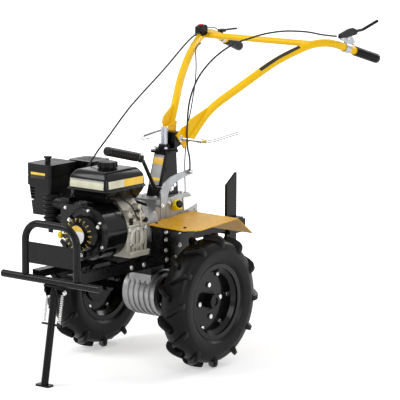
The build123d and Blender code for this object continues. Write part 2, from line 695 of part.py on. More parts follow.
with BuildPart() as lock_lever:
    add(round_bar((0, COLUMN_Y, HEAD_TOP + 12), (-1, 0, -0.35), LOCK_LEVER, LOCK_LEVER_R))
    add(round_bar((0, COLUMN_Y, head_floor), (0, 0, 1), HEAD_TOP, PIVOT_BOLT + FIT), mode=Mode.SUBTRACT)
save(lock_lever, "lock_lever")

# Handlebar: two bent tubes with gusset plates at the head, joined by a crossbar
gusset_x = HEAD_W / 2 + RUN
bar_start = Vector(*BAR_POINTS[0])
bar_up = (Vector(*BAR_POINTS[1]) - bar_start).normalized()
leaf_plane = Plane(origin=bar_start, x_dir=bar_up, z_dir=Vector(1, 0, 0) - bar_up * bar_up.X)
with BuildPart() as handle_tubes:
    add(rod(BAR_POINTS, BAR_R))
    add(plate([(92, 826), (128, 852), (186, 866), (180, 806), (140, 772)], side_plane(gusset_x), GUSSET_THICK))
    add(plate([(0, 0), (2, 18), (36, 54), (56, 55), (84, 41), (140, 10), (140, 0)], leaf_plane,
              GUSSET_THICK / 2, both=True))
    mirror(about=Plane.YZ)
    add(round_bar((-CROSSBAR_X, CROSSBAR_Y, CROSSBAR_Z), (1, 0, 0), 2 * CROSSBAR_X, CROSSBAR_R))
    add(round_bar((-HEAD_W, TILT_Y, TILT_Z), (1, 0, 0), 2 * HEAD_W, TILT_BOLT_R + FIT), mode=Mode.SUBTRACT)
save(handle_tubes, "handle_tubes")

with BuildPart() as tilt_bolt:
    bolt_end = gusset_x + GUSSET_THICK + 12
    add(round_bar((-bolt_end, TILT_Y, TILT_Z), (1, 0, 0), 2 * bolt_end, TILT_BOLT_R))
save(tilt_bolt, "tilt_bolt")

bar_end = Vector(*BAR_POINTS[-1])
grip_along = (bar_end - Vector(*BAR_POINTS[-2])).normalized()
with BuildPart() as grips:
    add(round_bar(tuple(bar_end + grip_along * (4 + FIT)), tuple(-grip_along), 4, GRIP_R))
    add(round_bar(tuple(bar_end + grip_along * FIT), tuple(-grip_along), GRIP_LENGTH, GRIP_R, BAR_R + FIT))
    mirror(about=Plane.YZ)
save(grips, "grips")

# Fenders over the wheels, on posts that stand on the rails
with BuildPart() as fenders:
    with BuildSketch(Plane.XY.offset(FENDER_Z)):
        with BuildLine():
            Polyline((102, -138), (90, -58), (UPPER_W / 2 + 6, -54), (UPPER_W / 2 + 6, 34), (54, 84),
                     (54, 174), (276, 160), (322, -118), (279, -167), (106, -150), close=True)
        make_face()
    extrude(amount=FENDER_THICK)
    add(plate([(160, FENDER_Z), (160, FENDER_Z + 3), (252, 466), (251, 463)], side_plane(76), 200))
    mirror(about=Plane.YZ)
save(fenders, "fenders")

with BuildPart() as fender_brackets:
    add(plate([(-118, RAIL_TOP + FIT), (-40, RAIL_TOP + FIT), (-66, FENDER_Z - FIT), (-118, FENDER_Z - FIT)],
              side_plane(RAIL_X - 8), 6))
    mirror(about=Plane.YZ)
save(fender_brackets, "fender_brackets")

with BuildPart() as hitch:
    with BuildSketch(front_plane(CASE_REAR + 30 + FIT)):
        with Locations((0, HITCH_Z - HITCH_SIDE / 2)):
            Rectangle(HITCH_SIDE, HITCH_SIDE)
    extrude(amount=-(HITCH_END - CASE_REAR - 30))
    with BuildSketch(Plane.XY.offset(HITCH_Z - HITCH_SIDE - CLAMP_WALL)):
        with Locations((0, COULTER_Y + COULTER_W / 2)):
            Rectangle(HITCH_SIDE + 2 * CLAMP_WALL, COULTER_W + 2 * CLAMP_WALL)
    extrude(amount=HITCH_SIDE + 2 * CLAMP_WALL)
    with BuildSketch(Plane.XY):
        with Locations((0, COULTER_Y + COULTER_W / 2)):
            Rectangle(COULTER_THICK + 2 * FIT, COULTER_W + 2 * FIT)
    extrude(amount=HITCH_Z + HITCH_SIDE, mode=Mode.SUBTRACT)
    add(round_bar((0, HITCH_END - PIN_INSET, HITCH_Z - HITCH_SIDE), (0, 0, 1), HITCH_SIDE, HITCH_PIN_R),
        mode=Mode.SUBTRACT)
save(hitch, "hitch_bar")

with BuildPart() as coulter:
    add(plate([(COULTER_Y, 250), (COULTER_Y + COULTER_W, 250), (COULTER_Y + COULTER_W, 634),
               (COULTER_Y, 590)], side_plane(0), COULTER_THICK / 2, both=True))
save(coulter, "coulter_bar")

# Gear lever with its ribbed grip
lever_end = Vector(60, -139, 772)
lever_way = Vector(0, -196, 48).normalized()
with BuildPart() as gear_lever:
    add(rod([(60, 24, 640), (60, -60, 650), (60, -128, 760)], 7, [20]))
    add(round_bar(tuple(lever_end), tuple(lever_way), 196, 8))
    add(round_bar((60, -139, 756), (0, 0, 1), 26, 11))
    add(round_bar((COLUMN_W / 2 + RUN, 24, 640), (1, 0, 0), 38, 9))
save(gear_lever, "gear_lever")

with BuildPart() as gear_grip:
    add(round_bar(tuple(lever_end + lever_way * 24), tuple(lever_way), 176, 17, 8 + FIT))
save(gear_grip, "gear_lever_grip")

with BuildPart() as clutch_arm:
    add(plate(ARM_OUTLINE, side_plane(86), 6))
    add(round_bar((UPPER_W / 2 + FIT, -56, 588), (1, 0, 0), 86 - UPPER_W / 2, 8))
    add(round_bar((84, 103, 694), (1, 0, 0), 20, 7))
save(clutch_arm, "clutch_arm")

# Controls on the handlebar: clamps round the tubes, levers and a switch box
def on_bar(side: float, y: float) -> Vector:
    """The tube's centre at a distance along the straight stretch that carries the grip."""
    low, high = Vector(*BAR_POINTS[-2]), Vector(*BAR_POINTS[-1])
    there = low + (high - low) * ((y - low.Y) / (high.Y - low.Y))
    return Vector(side * there.X, there.Y, there.Z)


def bar_clamp(side: float, y: float, length: float) -> Part:
    """A ring clamped round the tube."""
    along = Vector(side * grip_along.X, grip_along.Y, grip_along.Z)
    return round_bar(tuple(on_bar(side, y)), tuple(along), length, BAR_R + 4, BAR_R + FIT)


with BuildPart() as lever_brackets:
    seat = on_bar(1, LEVER_Y)
    add(bar_clamp(1, LEVER_Y - 13, 26))
    add(plate([(LEVER_Y - 40, seat.Z + 34), (LEVER_Y - 14, seat.Z + 26), (LEVER_Y - 12, seat.Z + 21),
               (LEVER_Y + 12, seat.Z + 13.2), (LEVER_Y + 14, seat.Z + 16), (LEVER_Y + 52, seat.Z + 3),
               (LEVER_Y + 58, seat.Z + 18), (LEVER_Y + 24, seat.Z + 56), (LEVER_Y - 24, seat.Z + 54), (LEVER_Y - 44, seat.Z + 40)],
              side_plane(seat.X - 2), 4))
    add(bar_clamp(-1, THROTTLE_Y - 9, 18))
save(lever_brackets, "lever_brackets")

with BuildPart() as clutch_lever:
    pivot_x = seat.X + 2 + FIT
    add(plate([(LEVER_Y - 60, seat.Z + 42), (LEVER_Y - 18, seat.Z + 42), (LEVER_Y + 50, seat.Z + 48),
               (LEVER_Y + 66, seat.Z + 62), (LEVER_Y + 30, seat.Z + 76), (LEVER_Y + 4, seat.Z + 74),
               (LEVER_Y - 58, seat.Z + 58)], side_plane(pivot_x), 10))
    add(rod([(pivot_x + 5, LEVER_Y + 40, seat.Z + 61), (pivot_x + 9, LEVER_Y + 92, seat.Z + 64),
             (334, 968, 1206)], 6, [50]))
save(clutch_lever, "clutch_lever")

with BuildPart() as throttle_lever:
    seat = on_bar(-1, THROTTLE_Y)
    floor = seat.Z + BAR_R + 8
    with BuildSketch(Plane.XY.offset(floor)):
        with Locations((seat.X, THROTTLE_Y)):
            RectangleRounded(24, 34, 6)
    extrude(amount=12)
    add(round_bar((seat.X, THROTTLE_Y, floor - 4.5), (0, 0, 1), 6, 6))
    with BuildSketch(Plane.XY.offset(floor + 3)):
        with Locations((seat.X - 6, THROTTLE_Y + 58)):
            RectangleRounded(15, 92, 6)
    extrude(amount=6)
    add(bar_clamp(-1, THROTTLE_Y - 9, 18), mode=Mode.SUBTRACT)
save(throttle_lever, "throttle_lever")

# Stop switch on the right tube's upper bend, with a saddle for the tube
with BuildPart() as control_box:
    with BuildSketch(side_plane(BOX_X - BOX_W / 2)):
        with BuildLine():
            Polyline((BOX_Y - 19, 1134), (BOX_Y + 19, 1142), (BOX_Y + 18, 1174), (BOX_Y + 6, 1180),
                     (BOX_Y - 19, 1170), close=True)
        make_face()
    extrude(amount=BOX_W)
    add(rod([(-x, y, z) for x, y, z in BAR_POINTS], BAR_R + FIT), mode=Mode.SUBTRACT)
    add(round_bar((-CROSSBAR_X, CROSSBAR_Y, CROSSBAR_Z), (1, 0, 0), CROSSBAR_X, CROSSBAR_R + FIT),
        mode=Mode.SUBTRACT)
save(control_box, "control_box")


def cable(points: list, diameter: float) -> Part:
    """A cable's tube along its route, with the widest arcs that its runs allow."""
    return rod(points, diameter / 2)


# Control cables: clutch, throttle and the thin one to the gearbox
CABLE_D = 7.0
WIRE_D = 5.0
CLUTCH_SPLIT = Vector(99, 80, 847)          # where each cable passes from the handlebar to the head
CLUTCH_WAY = Vector(-10, 11, -65).normalized()
THROTTLE_SPLIT = Vector(-178, 84, 915)
THROTTLE_WAY = Vector(12, -78, -44).normalized()
WIRE_SPLIT = Vector(14, 188, 826)
WIRE_WAY = Vector(5, -16, -50).normalized()
JOINT_GAP = 0.4


def past(split_point: Vector, way: Vector, reach: float) -> tuple:
    """A cable's point at a distance past the place where it is split."""
    return tuple(split_point + way * reach)


with BuildPart() as cables_upper:
    add(cable([(302, LEVER_Y - 61, 1162), (288, 663, 1172), (275, 603, 1187), (262, 537, 1195),
               (250, 471, 1200), (238, 405, 1198), (227, 352, 1193), (214, 302, 1182), (203, 255, 1174),
               (188, 211, 1158), (170, 160, 1127), (152, 120, 1088), (136, 91, 1045), (121, 69, 980),
               past(CLUTCH_SPLIT, CLUTCH_WAY, -66), tuple(CLUTCH_SPLIT)], CABLE_D))
    add(cable([(-249, BOX_Y - 20, 1152), (-246, 556, 1143), (-239, 512, 1126), (-231, 465, 1105),
               (-222, 400, 1070), (-210, 320, 1029), (-199, 240, 991), (-189, 165, 956),
               tuple(THROTTLE_SPLIT)], CABLE_D))
    add(cable([(-222, 568, 1112), (-206, 528, 1110), (-180, 480, 1093), (-150, 446, 1067), (-122, 412, 1040),
               (-98, 380, 1017), (-76, 348, 992), (-54, 315, 967), (-32, 277, 938), (-9, 240, 908),
               past(WIRE_SPLIT, WIRE_WAY, -46), tuple(WIRE_SPLIT)], WIRE_D))
    add(cable([(-259, BOX_Y + 19.2, 1162), (-267, 690, 1163), (-281, 733, 1156), (-296, 768, 1145),
               (-303, THROTTLE_Y - 18.1, 1138)], WIRE_D))
save(cables_upper, "cables_upper")

with BuildPart() as cables_lower:
    add(cable([past(CLUTCH_SPLIT, CLUTCH_WAY, JOINT_GAP), past(CLUTCH_SPLIT, CLUTCH_WAY, 60), (92, 108, 744),
               (95, 103, 701.8)], CABLE_D))
    add(cable([past(THROTTLE_SPLIT, THROTTLE_WAY, JOINT_GAP), past(THROTTLE_SPLIT, THROTTLE_WAY, 80),
               (-152, -75, 820), (-138, -150, 780), (-124, -215, 737), (-126, -262, 690), (-138, -298, 630)],
              CABLE_D))
    add(cable([past(WIRE_SPLIT, WIRE_WAY, JOINT_GAP), past(WIRE_SPLIT, WIRE_WAY, 58), (18, 168, 712),
               (18, 170, 655), (18, 172, 593.6)], WIRE_D))
save(cables_lower, "cables_lower")

with BuildPart() as oil_filler:
    add(round_bar((40, 52, 556), (1, 0, 0.5), 48, 14))
    with BuildSketch(Plane(origin=(40, 52, 556), x_dir=(0, 1, 0), z_dir=(1, 0, 0.5)).offset(38)):
        RegularPolygon(22, 6)
    extrude(amount=10)
    add(gearbox.part, mode=Mode.SUBTRACT)
save(oil_filler, "oil_filler")

with BuildPart() as cable_bracket:
    add(plate([(UPPER_STEP - 36, UPPER_TOP - 16), (UPPER_REAR - 30, UPPER_REAR_TOP + 46),
               (UPPER_REAR - 20, UPPER_REAR_TOP + 14), (UPPER_STEP - 32, UPPER_REAR_TOP - 6)],
              side_plane(UPPER_REAR_W / 2 + FIT), 3))
save(cable_bracket, "cable_bracket")
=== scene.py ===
"""Walking tractor: finishes, detailed pieces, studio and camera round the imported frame."""

import json
import logging
from dataclasses import dataclass, field
from enum import Enum
from math import cos, pi, radians, sin

import bmesh
import bpy
from mathutils import Matrix, Vector
from mathutils.bvhtree import BVHTree


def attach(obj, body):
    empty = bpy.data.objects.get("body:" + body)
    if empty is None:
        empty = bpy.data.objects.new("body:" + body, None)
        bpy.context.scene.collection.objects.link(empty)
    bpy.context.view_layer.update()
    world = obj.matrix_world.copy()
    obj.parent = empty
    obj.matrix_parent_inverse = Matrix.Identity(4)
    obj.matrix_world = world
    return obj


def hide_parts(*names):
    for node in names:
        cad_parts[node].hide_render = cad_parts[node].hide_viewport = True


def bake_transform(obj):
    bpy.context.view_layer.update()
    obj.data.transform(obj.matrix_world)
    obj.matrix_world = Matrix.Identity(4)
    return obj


logging.basicConfig(level=logging.INFO, format="%(name)s: %(message)s")
LOG = logging.getLogger("tractor")

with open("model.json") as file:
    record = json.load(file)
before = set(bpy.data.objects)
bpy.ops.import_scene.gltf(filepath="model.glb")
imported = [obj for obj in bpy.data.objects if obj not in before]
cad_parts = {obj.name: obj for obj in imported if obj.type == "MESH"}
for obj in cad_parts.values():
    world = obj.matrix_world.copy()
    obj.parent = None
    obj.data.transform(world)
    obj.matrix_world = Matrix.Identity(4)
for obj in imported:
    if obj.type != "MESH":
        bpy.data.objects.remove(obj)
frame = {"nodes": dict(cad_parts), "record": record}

MM = 0.001
MIDDLE_Y = 0.176            # the wheel axle lies this far in front of the frame's origin
AXLE_Z = 248.0              # the wheel axle's height, in millimetres as all sizes of pieces are
BEVEL_FROM_DEG = 25.0       # edges that turn by more than this are bevelled

Colour = tuple[float, float, float]
Point = tuple[float, float, float]


def grey(level: float) -> Colour:
    """A neutral colour of one level."""
    return (level, level, level)


def shade_of(colour: Colour, factor: float) -> Colour:
    """The same colour, lighter or darker by a factor."""
    return tuple(min(1.0, part * factor) for part in colour)


class NodeSheet:
    """A material's node tree, written one node at a time."""

    def __init__(self, name: str) -> None:
        """Start a material with its shader and object coordinates.

        Args:
            name: the material's name.
        """
        self.material = bpy.data.materials.new(name)
        self.material.use_nodes = True
        self.tree = self.material.node_tree
        self.shader = self.tree.nodes["Principled BSDF"]
        self.place = self.add("ShaderNodeTexCoord").outputs["Object"]

    def add(self, kind: str, **settings: object) -> bpy.types.Node:
        """Add a node and set its properties."""
        node = self.tree.nodes.new(kind)
        for key, value in settings.items():
            setattr(node, key, value)
        return node

    def put(self, socket: bpy.types.NodeSocket, value: object) -> None:
        """Link an output socket to an input, or set the input to a plain value."""
        if isinstance(value, bpy.types.NodeSocket):
            self.tree.links.new(value, socket)
        elif isinstance(value, tuple) and len(value) == 3 and socket.type == "RGBA":
            socket.default_value = (*value, 1.0)
        else:
            socket.default_value = value

    def set(self, **values: object) -> None:
        """Set the shader's sockets, with underscores for the spaces in their names."""
        for key, value in values.items():
            self.put(self.shader.inputs[key.replace("_", " ")], value)

    def stretched(self, scale: Point) -> bpy.types.NodeSocket:
        """Object coordinates scaled along the axes, for grain that runs one way."""
        mapping = self.add("ShaderNodeMapping")
        self.put(mapping.inputs["Vector"], self.place)
        self.put(mapping.inputs["Scale"], scale)
        return mapping.outputs["Vector"]

    def noise(self, scale: float, detail: float = 3.0, where: object = None) -> bpy.types.NodeSocket:
        """Soft random variation from 0 to 1.

        Args:
            scale: cells in a metre.
            detail: how many finer layers are added.
            where: coordinates to read, the object's own if None.

        Returns:
            The noise's factor socket.
        """
        node = self.add("ShaderNodeTexNoise")
        self.put(node.inputs["Vector"], where or self.place)
        self.put(node.inputs["Scale"], scale)
        self.put(node.inputs["Detail"], detail)
        return node.outputs["Fac"]

    def cells(self, scale: float) -> bpy.types.NodeSocket:
        """The distance to the nearest of many scattered points."""
        node = self.add("ShaderNodeTexVoronoi")
        self.put(node.inputs["Vector"], self.place)
        self.put(node.inputs["Scale"], scale)
        return node.outputs["Distance"]

    def spread(self, value: object, low: float, high: float, to_low: float, to_high: float) -> object:
        """Map a range of a value to another range, clamped."""
        node = self.add("ShaderNodeMapRange")
        for key, number in zip(("Value", "From Min", "From Max", "To Min", "To Max"),
                               (value, low, high, to_low, to_high)):
            self.put(node.inputs[key], number)
        return node.outputs["Result"]

    def maths(self, operation: str, first: object, second: object) -> object:
        """One arithmetic step on two values."""
        node = self.add("ShaderNodeMath", operation=operation)
        self.put(node.inputs[0], first)
        self.put(node.inputs[1], second)
        return node.outputs["Value"]

    def blend(self, factor: object, first: object, second: object) -> object:
        """The first colour where the factor is 0 and the second where it is 1."""
        node = self.add("ShaderNodeMix", data_type="RGBA")
        self.put(node.inputs["Factor"], factor)
        self.put(node.inputs[6], first)
        self.put(node.inputs[7], second)
        return node.outputs[2]

    def drift(self, clouds: object, low: float, high: float, colour: Colour, other: Colour) -> object:
        """A colour that turns into another one where soft clouds lie."""
        return self.blend(self.spread(clouds, low, high, 0.0, 1.0), colour, other)

    def uneven(self, clouds: object, level: float, less: float, more: float) -> None:
        """Give the shader a roughness that strays from a level, by less below it and by more above."""
        self.set(Roughness=self.spread(clouds, 0.3, 0.7, level - less, level + more))

    def bump(self, height: object, strength: float, distance: float) -> None:
        """Give the shader's normal the relief of a height, in metres of distance."""
        node = self.add("ShaderNodeBump")
        self.put(node.inputs["Height"], height)
        self.put(node.inputs["Strength"], strength)
        self.put(node.inputs["Distance"], distance)
        self.put(self.shader.inputs["Normal"], node.outputs["Normal"])


@dataclass(frozen=True)
class Finish:
    """A surface finish that can dress any piece, and the record's slot that it belongs to."""

    name: str
    slot: str

    def material(self) -> bpy.types.Material:
        """The finish's material, made once and shared."""
        label = f"look_{self.name}"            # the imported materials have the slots' names
        found = bpy.data.materials.get(label)
        if found is None:
            sheet = NodeSheet(label)
            self.shade(sheet)
            found = sheet.material
        return found

    def shade(self, sheet: NodeSheet) -> None:
        """Write the finish's nodes."""
        raise NotImplementedError


@dataclass(frozen=True)
class Paint(Finish):
    """Sprayed or powder-coated paint, with the slight ripple of the real coat."""

    colour: Colour
    roughness: float = 0.3
    ripple: float = 0.06
    mottle: float = 0.9
    ior: float = 1.3

    def shade(self, sheet: NodeSheet) -> None:
        """Write the paint's nodes."""
        sheet.set(IOR=self.ior, Base_Color=sheet.drift(
            sheet.noise(9.0), 0.35, 0.65, self.colour, shade_of(self.colour, self.mottle)))
        sheet.uneven(sheet.noise(35.0), self.roughness, 0.05, 0.07)
        sheet.bump(sheet.noise(520.0, 1.0), self.ripple, 0.0008)


@dataclass(frozen=True)
class CastMetal(Finish):
    """Sand- or die-cast aluminium: a grainy skin, darker in the pores."""

    colour: Colour
    roughness: float = 0.42
    grain: float = 0.25
    metallic: float = 0.85

    def shade(self, sheet: NodeSheet) -> None:
        """Write the casting's nodes."""
        pores, clouds = sheet.noise(420.0, 4.0), sheet.noise(22.0)
        tone = sheet.drift(clouds, 0.3, 0.7, self.colour, shade_of(self.colour, 0.8))
        tone = sheet.blend(sheet.spread(pores, 0.36, 0.46, 0.35, 0.0), tone, shade_of(self.colour, 0.45))
        sheet.set(Base_Color=tone, Metallic=self.metallic)
        sheet.uneven(clouds, self.roughness, 0.06, 0.1)
        sheet.bump(pores, self.grain, 0.0012)


@dataclass(frozen=True)
class HalfPainted(CastMetal):
    """A casting that is painted above a level and bare below it."""

    paint: Colour = (0.006, 0.006, 0.006)
    level: float = 0.325
    edge: float = 0.001

    def shade(self, sheet: NodeSheet) -> None:
        """Write the casting's nodes, then the paint over its upper part."""
        super().shade(sheet)
        height = sheet.add("ShaderNodeSeparateXYZ")
        sheet.put(height.inputs["Vector"], sheet.place)
        painted = sheet.spread(height.outputs["Z"], self.level - self.edge, self.level + self.edge, 0.0, 1.0)
        bare = sheet.shader.inputs["Base Color"].links[0].from_socket
        sheet.set(Base_Color=sheet.blend(painted, bare, self.paint), IOR=1.3)
        sheet.set(Metallic=sheet.maths("MULTIPLY", sheet.maths("SUBTRACT", 1.0, painted), self.metallic))


@dataclass(frozen=True)
class Plated(Finish):
    """Bright zinc or chrome plating on steel, with a fine drawn grain."""

    colour: Colour
    roughness: float = 0.24
    grain_along: Point = (1.0, 1.0, 0.06)

    def shade(self, sheet: NodeSheet) -> None:
        """Write the plating's nodes."""
        grain = sheet.noise(900.0, 2.0, sheet.stretched(self.grain_along))
        red, green, blue = self.colour
        sheet.set(Metallic=1.0, Base_Color=sheet.drift(
            sheet.noise(30.0, 2.0), 0.3, 0.7, self.colour, (red * 0.9, green * 0.9, blue * 0.94)))
        sheet.uneven(grain, self.roughness, 0.05, 0.08)
        sheet.bump(grain, 0.05, 0.0005)


@dataclass(frozen=True)
class Plastic(Finish):
    """Moulded plastic with a fine pebbled skin."""

    colour: Colour
    roughness: float = 0.38
    pebble: float = 0.12
    pebble_scale: float = 900.0
    ior: float = 1.3

    def shade(self, sheet: NodeSheet) -> None:
        """Write the plastic's nodes."""
        clouds = sheet.noise(14.0)
        sheet.set(IOR=self.ior, Base_Color=sheet.drift(
            clouds, 0.35, 0.65, self.colour, shade_of(self.colour, 1.35)))
        sheet.uneven(clouds, self.roughness, 0.05, 0.07)
        sheet.bump(sheet.cells(self.pebble_scale), self.pebble, 0.0004)


@dataclass(frozen=True)
class Rubber(Finish):
    """Moulded rubber, a little dusty and uneven."""

    colour: Colour
    roughness: float = 0.3
    dust: float = 1.9
    ior: float = 1.22

    def shade(self, sheet: NodeSheet) -> None:
        """Write the rubber's nodes."""
        clouds = sheet.noise(16.0, 5.0)
        sheet.set(IOR=self.ior, Base_Color=sheet.drift(
            clouds, 0.4, 0.75, self.colour, shade_of(self.colour, self.dust)))
        sheet.uneven(clouds, self.roughness, 0.06, 0.12)
        sheet.bump(sheet.noise(300.0), 0.08, 0.0006)


def label_colour(name: str, colour: Colour, roughness: float = 0.3) -> Plastic:
    """The smooth finish of a printed label."""
    return Plastic(name, "black_plastic", colour, roughness=roughness, pebble=0.02)


BLACK = grey(0.004)

TUBE_YELLOW = Paint("tube_yellow", "yellow_metal", (0.93, 0.56, 0.0), roughness=0.34, mottle=0.94)
FENDER_PAINT = Paint("fender_yellow", "yellow_metal", (0.74, 0.38, 0.0), mottle=0.92, ior=1.2)
GLOSS_BLACK = Paint("gloss_black", "black_metal", BLACK, roughness=0.14, ripple=0.04)
SATIN_BLACK = Paint("satin_black", "black_metal", BLACK, roughness=0.24, ripple=0.08, ior=1.26)
GREY_CASTING = CastMetal("grey_casting", "casting", grey(0.4))
CASE_CASTING = HalfPainted("case_casting", "casting", grey(0.4))
PALE_CASTING = CastMetal("pale_casting", "engine_casting", (0.6, 0.57, 0.49), roughness=0.48, grain=0.2,
                         metallic=0.5)
ARM_STEEL = CastMetal("arm_steel", "zinc", (0.4, 0.42, 0.44), roughness=0.4, grain=0.08, metallic=0.8)
ZINC = Plated("bright_zinc", "zinc", (0.75, 0.75, 0.73))
STEEL = Plated("satin_steel", "zinc", (0.4, 0.42, 0.45), roughness=0.27)
CHROME = Plated("bright_chrome", "zinc", (0.85, 0.86, 0.88), roughness=0.1)
BRASS_SCREEN = Plated("brass_screen", "zinc", (0.62, 0.44, 0.1), roughness=0.35)
BLACK_PLASTIC = Plastic("black_plastic", "black_plastic", grey(0.005), roughness=0.3, ior=1.26)
CABLE_SHEATH = Plastic("cable_sheath", "cable_plastic", grey(0.008), roughness=0.3, pebble=0.04)
CAP_YELLOW = Plastic("cap_yellow", "yellow_metal", (0.9, 0.62, 0.01), roughness=0.35, pebble=0.05)
SWITCH_RED = Plastic("switch_red", "black_plastic", (0.5, 0.02, 0.02), roughness=0.35, pebble=0.05)
TYRE_RUBBER = Rubber("tyre_rubber", "tyre_rubber", BLACK)
GRIP_RUBBER = Rubber("grip_rubber", "grip_rubber", BLACK, roughness=0.22, ior=1.3)
LABEL_CREAM = label_colour("label_cream", (0.6, 0.58, 0.44), 0.32)
LABEL_GREY = label_colour("label_grey", (0.33, 0.33, 0.32))
LABEL_DARK = label_colour("label_dark", (0.03, 0.025, 0.02), 0.35)
LABEL_WHITE = label_colour("label_white", (0.8, 0.8, 0.82))
LABEL_GOLD = label_colour("label_gold", (0.82, 0.5, 0.07))

SLOT_FINISH = {finish.slot: finish for finish in (
    TYRE_RUBBER, SATIN_BLACK, TUBE_YELLOW, GREY_CASTING, PALE_CASTING, ZINC, BLACK_PLASTIC, GRIP_RUBBER,
    CABLE_SHEATH)}
NODE_FINISH = {node: finish for finish, nodes in (
    (FENDER_PAINT, ("fenders",)),
    (GLOSS_BLACK, ("fuel_tank", "fan_shroud", "recoil_starter", "rim_left", "rim_right")),
    (STEEL, ("lock_bolt", "lever_brackets", "tilt_bolt", "lock_lever")),
    (SATIN_BLACK, ("axle_stub_left", "axle_stub_right")),
    (BLACK_PLASTIC, ("carburettor",)),
    (CAP_YELLOW, ("oil_filler",)),
    (CASE_CASTING, ("drive_case",)),
    (ARM_STEEL, ("clutch_arm",))) for node in nodes}


class Body(Enum):
    """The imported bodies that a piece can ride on."""

    CHASSIS = "chassis"
    LEFT_WHEEL = "wheel_left"
    RIGHT_WHEEL = "wheel_right"
    STAND = "stand"
    HEAD = "swing_head"
    HANDLEBAR = "handlebar"


def at(x: float, y: float, z: float) -> Vector:
    """A place given in millimetres from the ground under the wheel axle, in the frame's metres."""
    return Vector((x * MM, y * MM - MIDDLE_Y, z * MM))


def facing(place: Vector, along: object) -> Matrix:
    """A matrix at a place, with its Z along a direction."""
    return Matrix.Translation(place) @ Vector(along).to_track_quat("Z", "Y").to_matrix().to_4x4()


def place_piece(piece: bpy.types.Object, body: Body, finish: Finish, replaces: tuple = ()) -> None:
    """Link a new piece, give it its finish and hang it on its body.

    Args:
        piece: the new object.
        body: the body that it rides on.
        finish: its surface.
        replaces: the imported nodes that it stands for.
    """
    piece.data.materials.append(finish.material())
    bpy.context.scene.collection.objects.link(piece)
    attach(piece, body.value)
    if replaces:
        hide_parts(*replaces)
    LOG.info("%s on %s", piece.name, body.value)


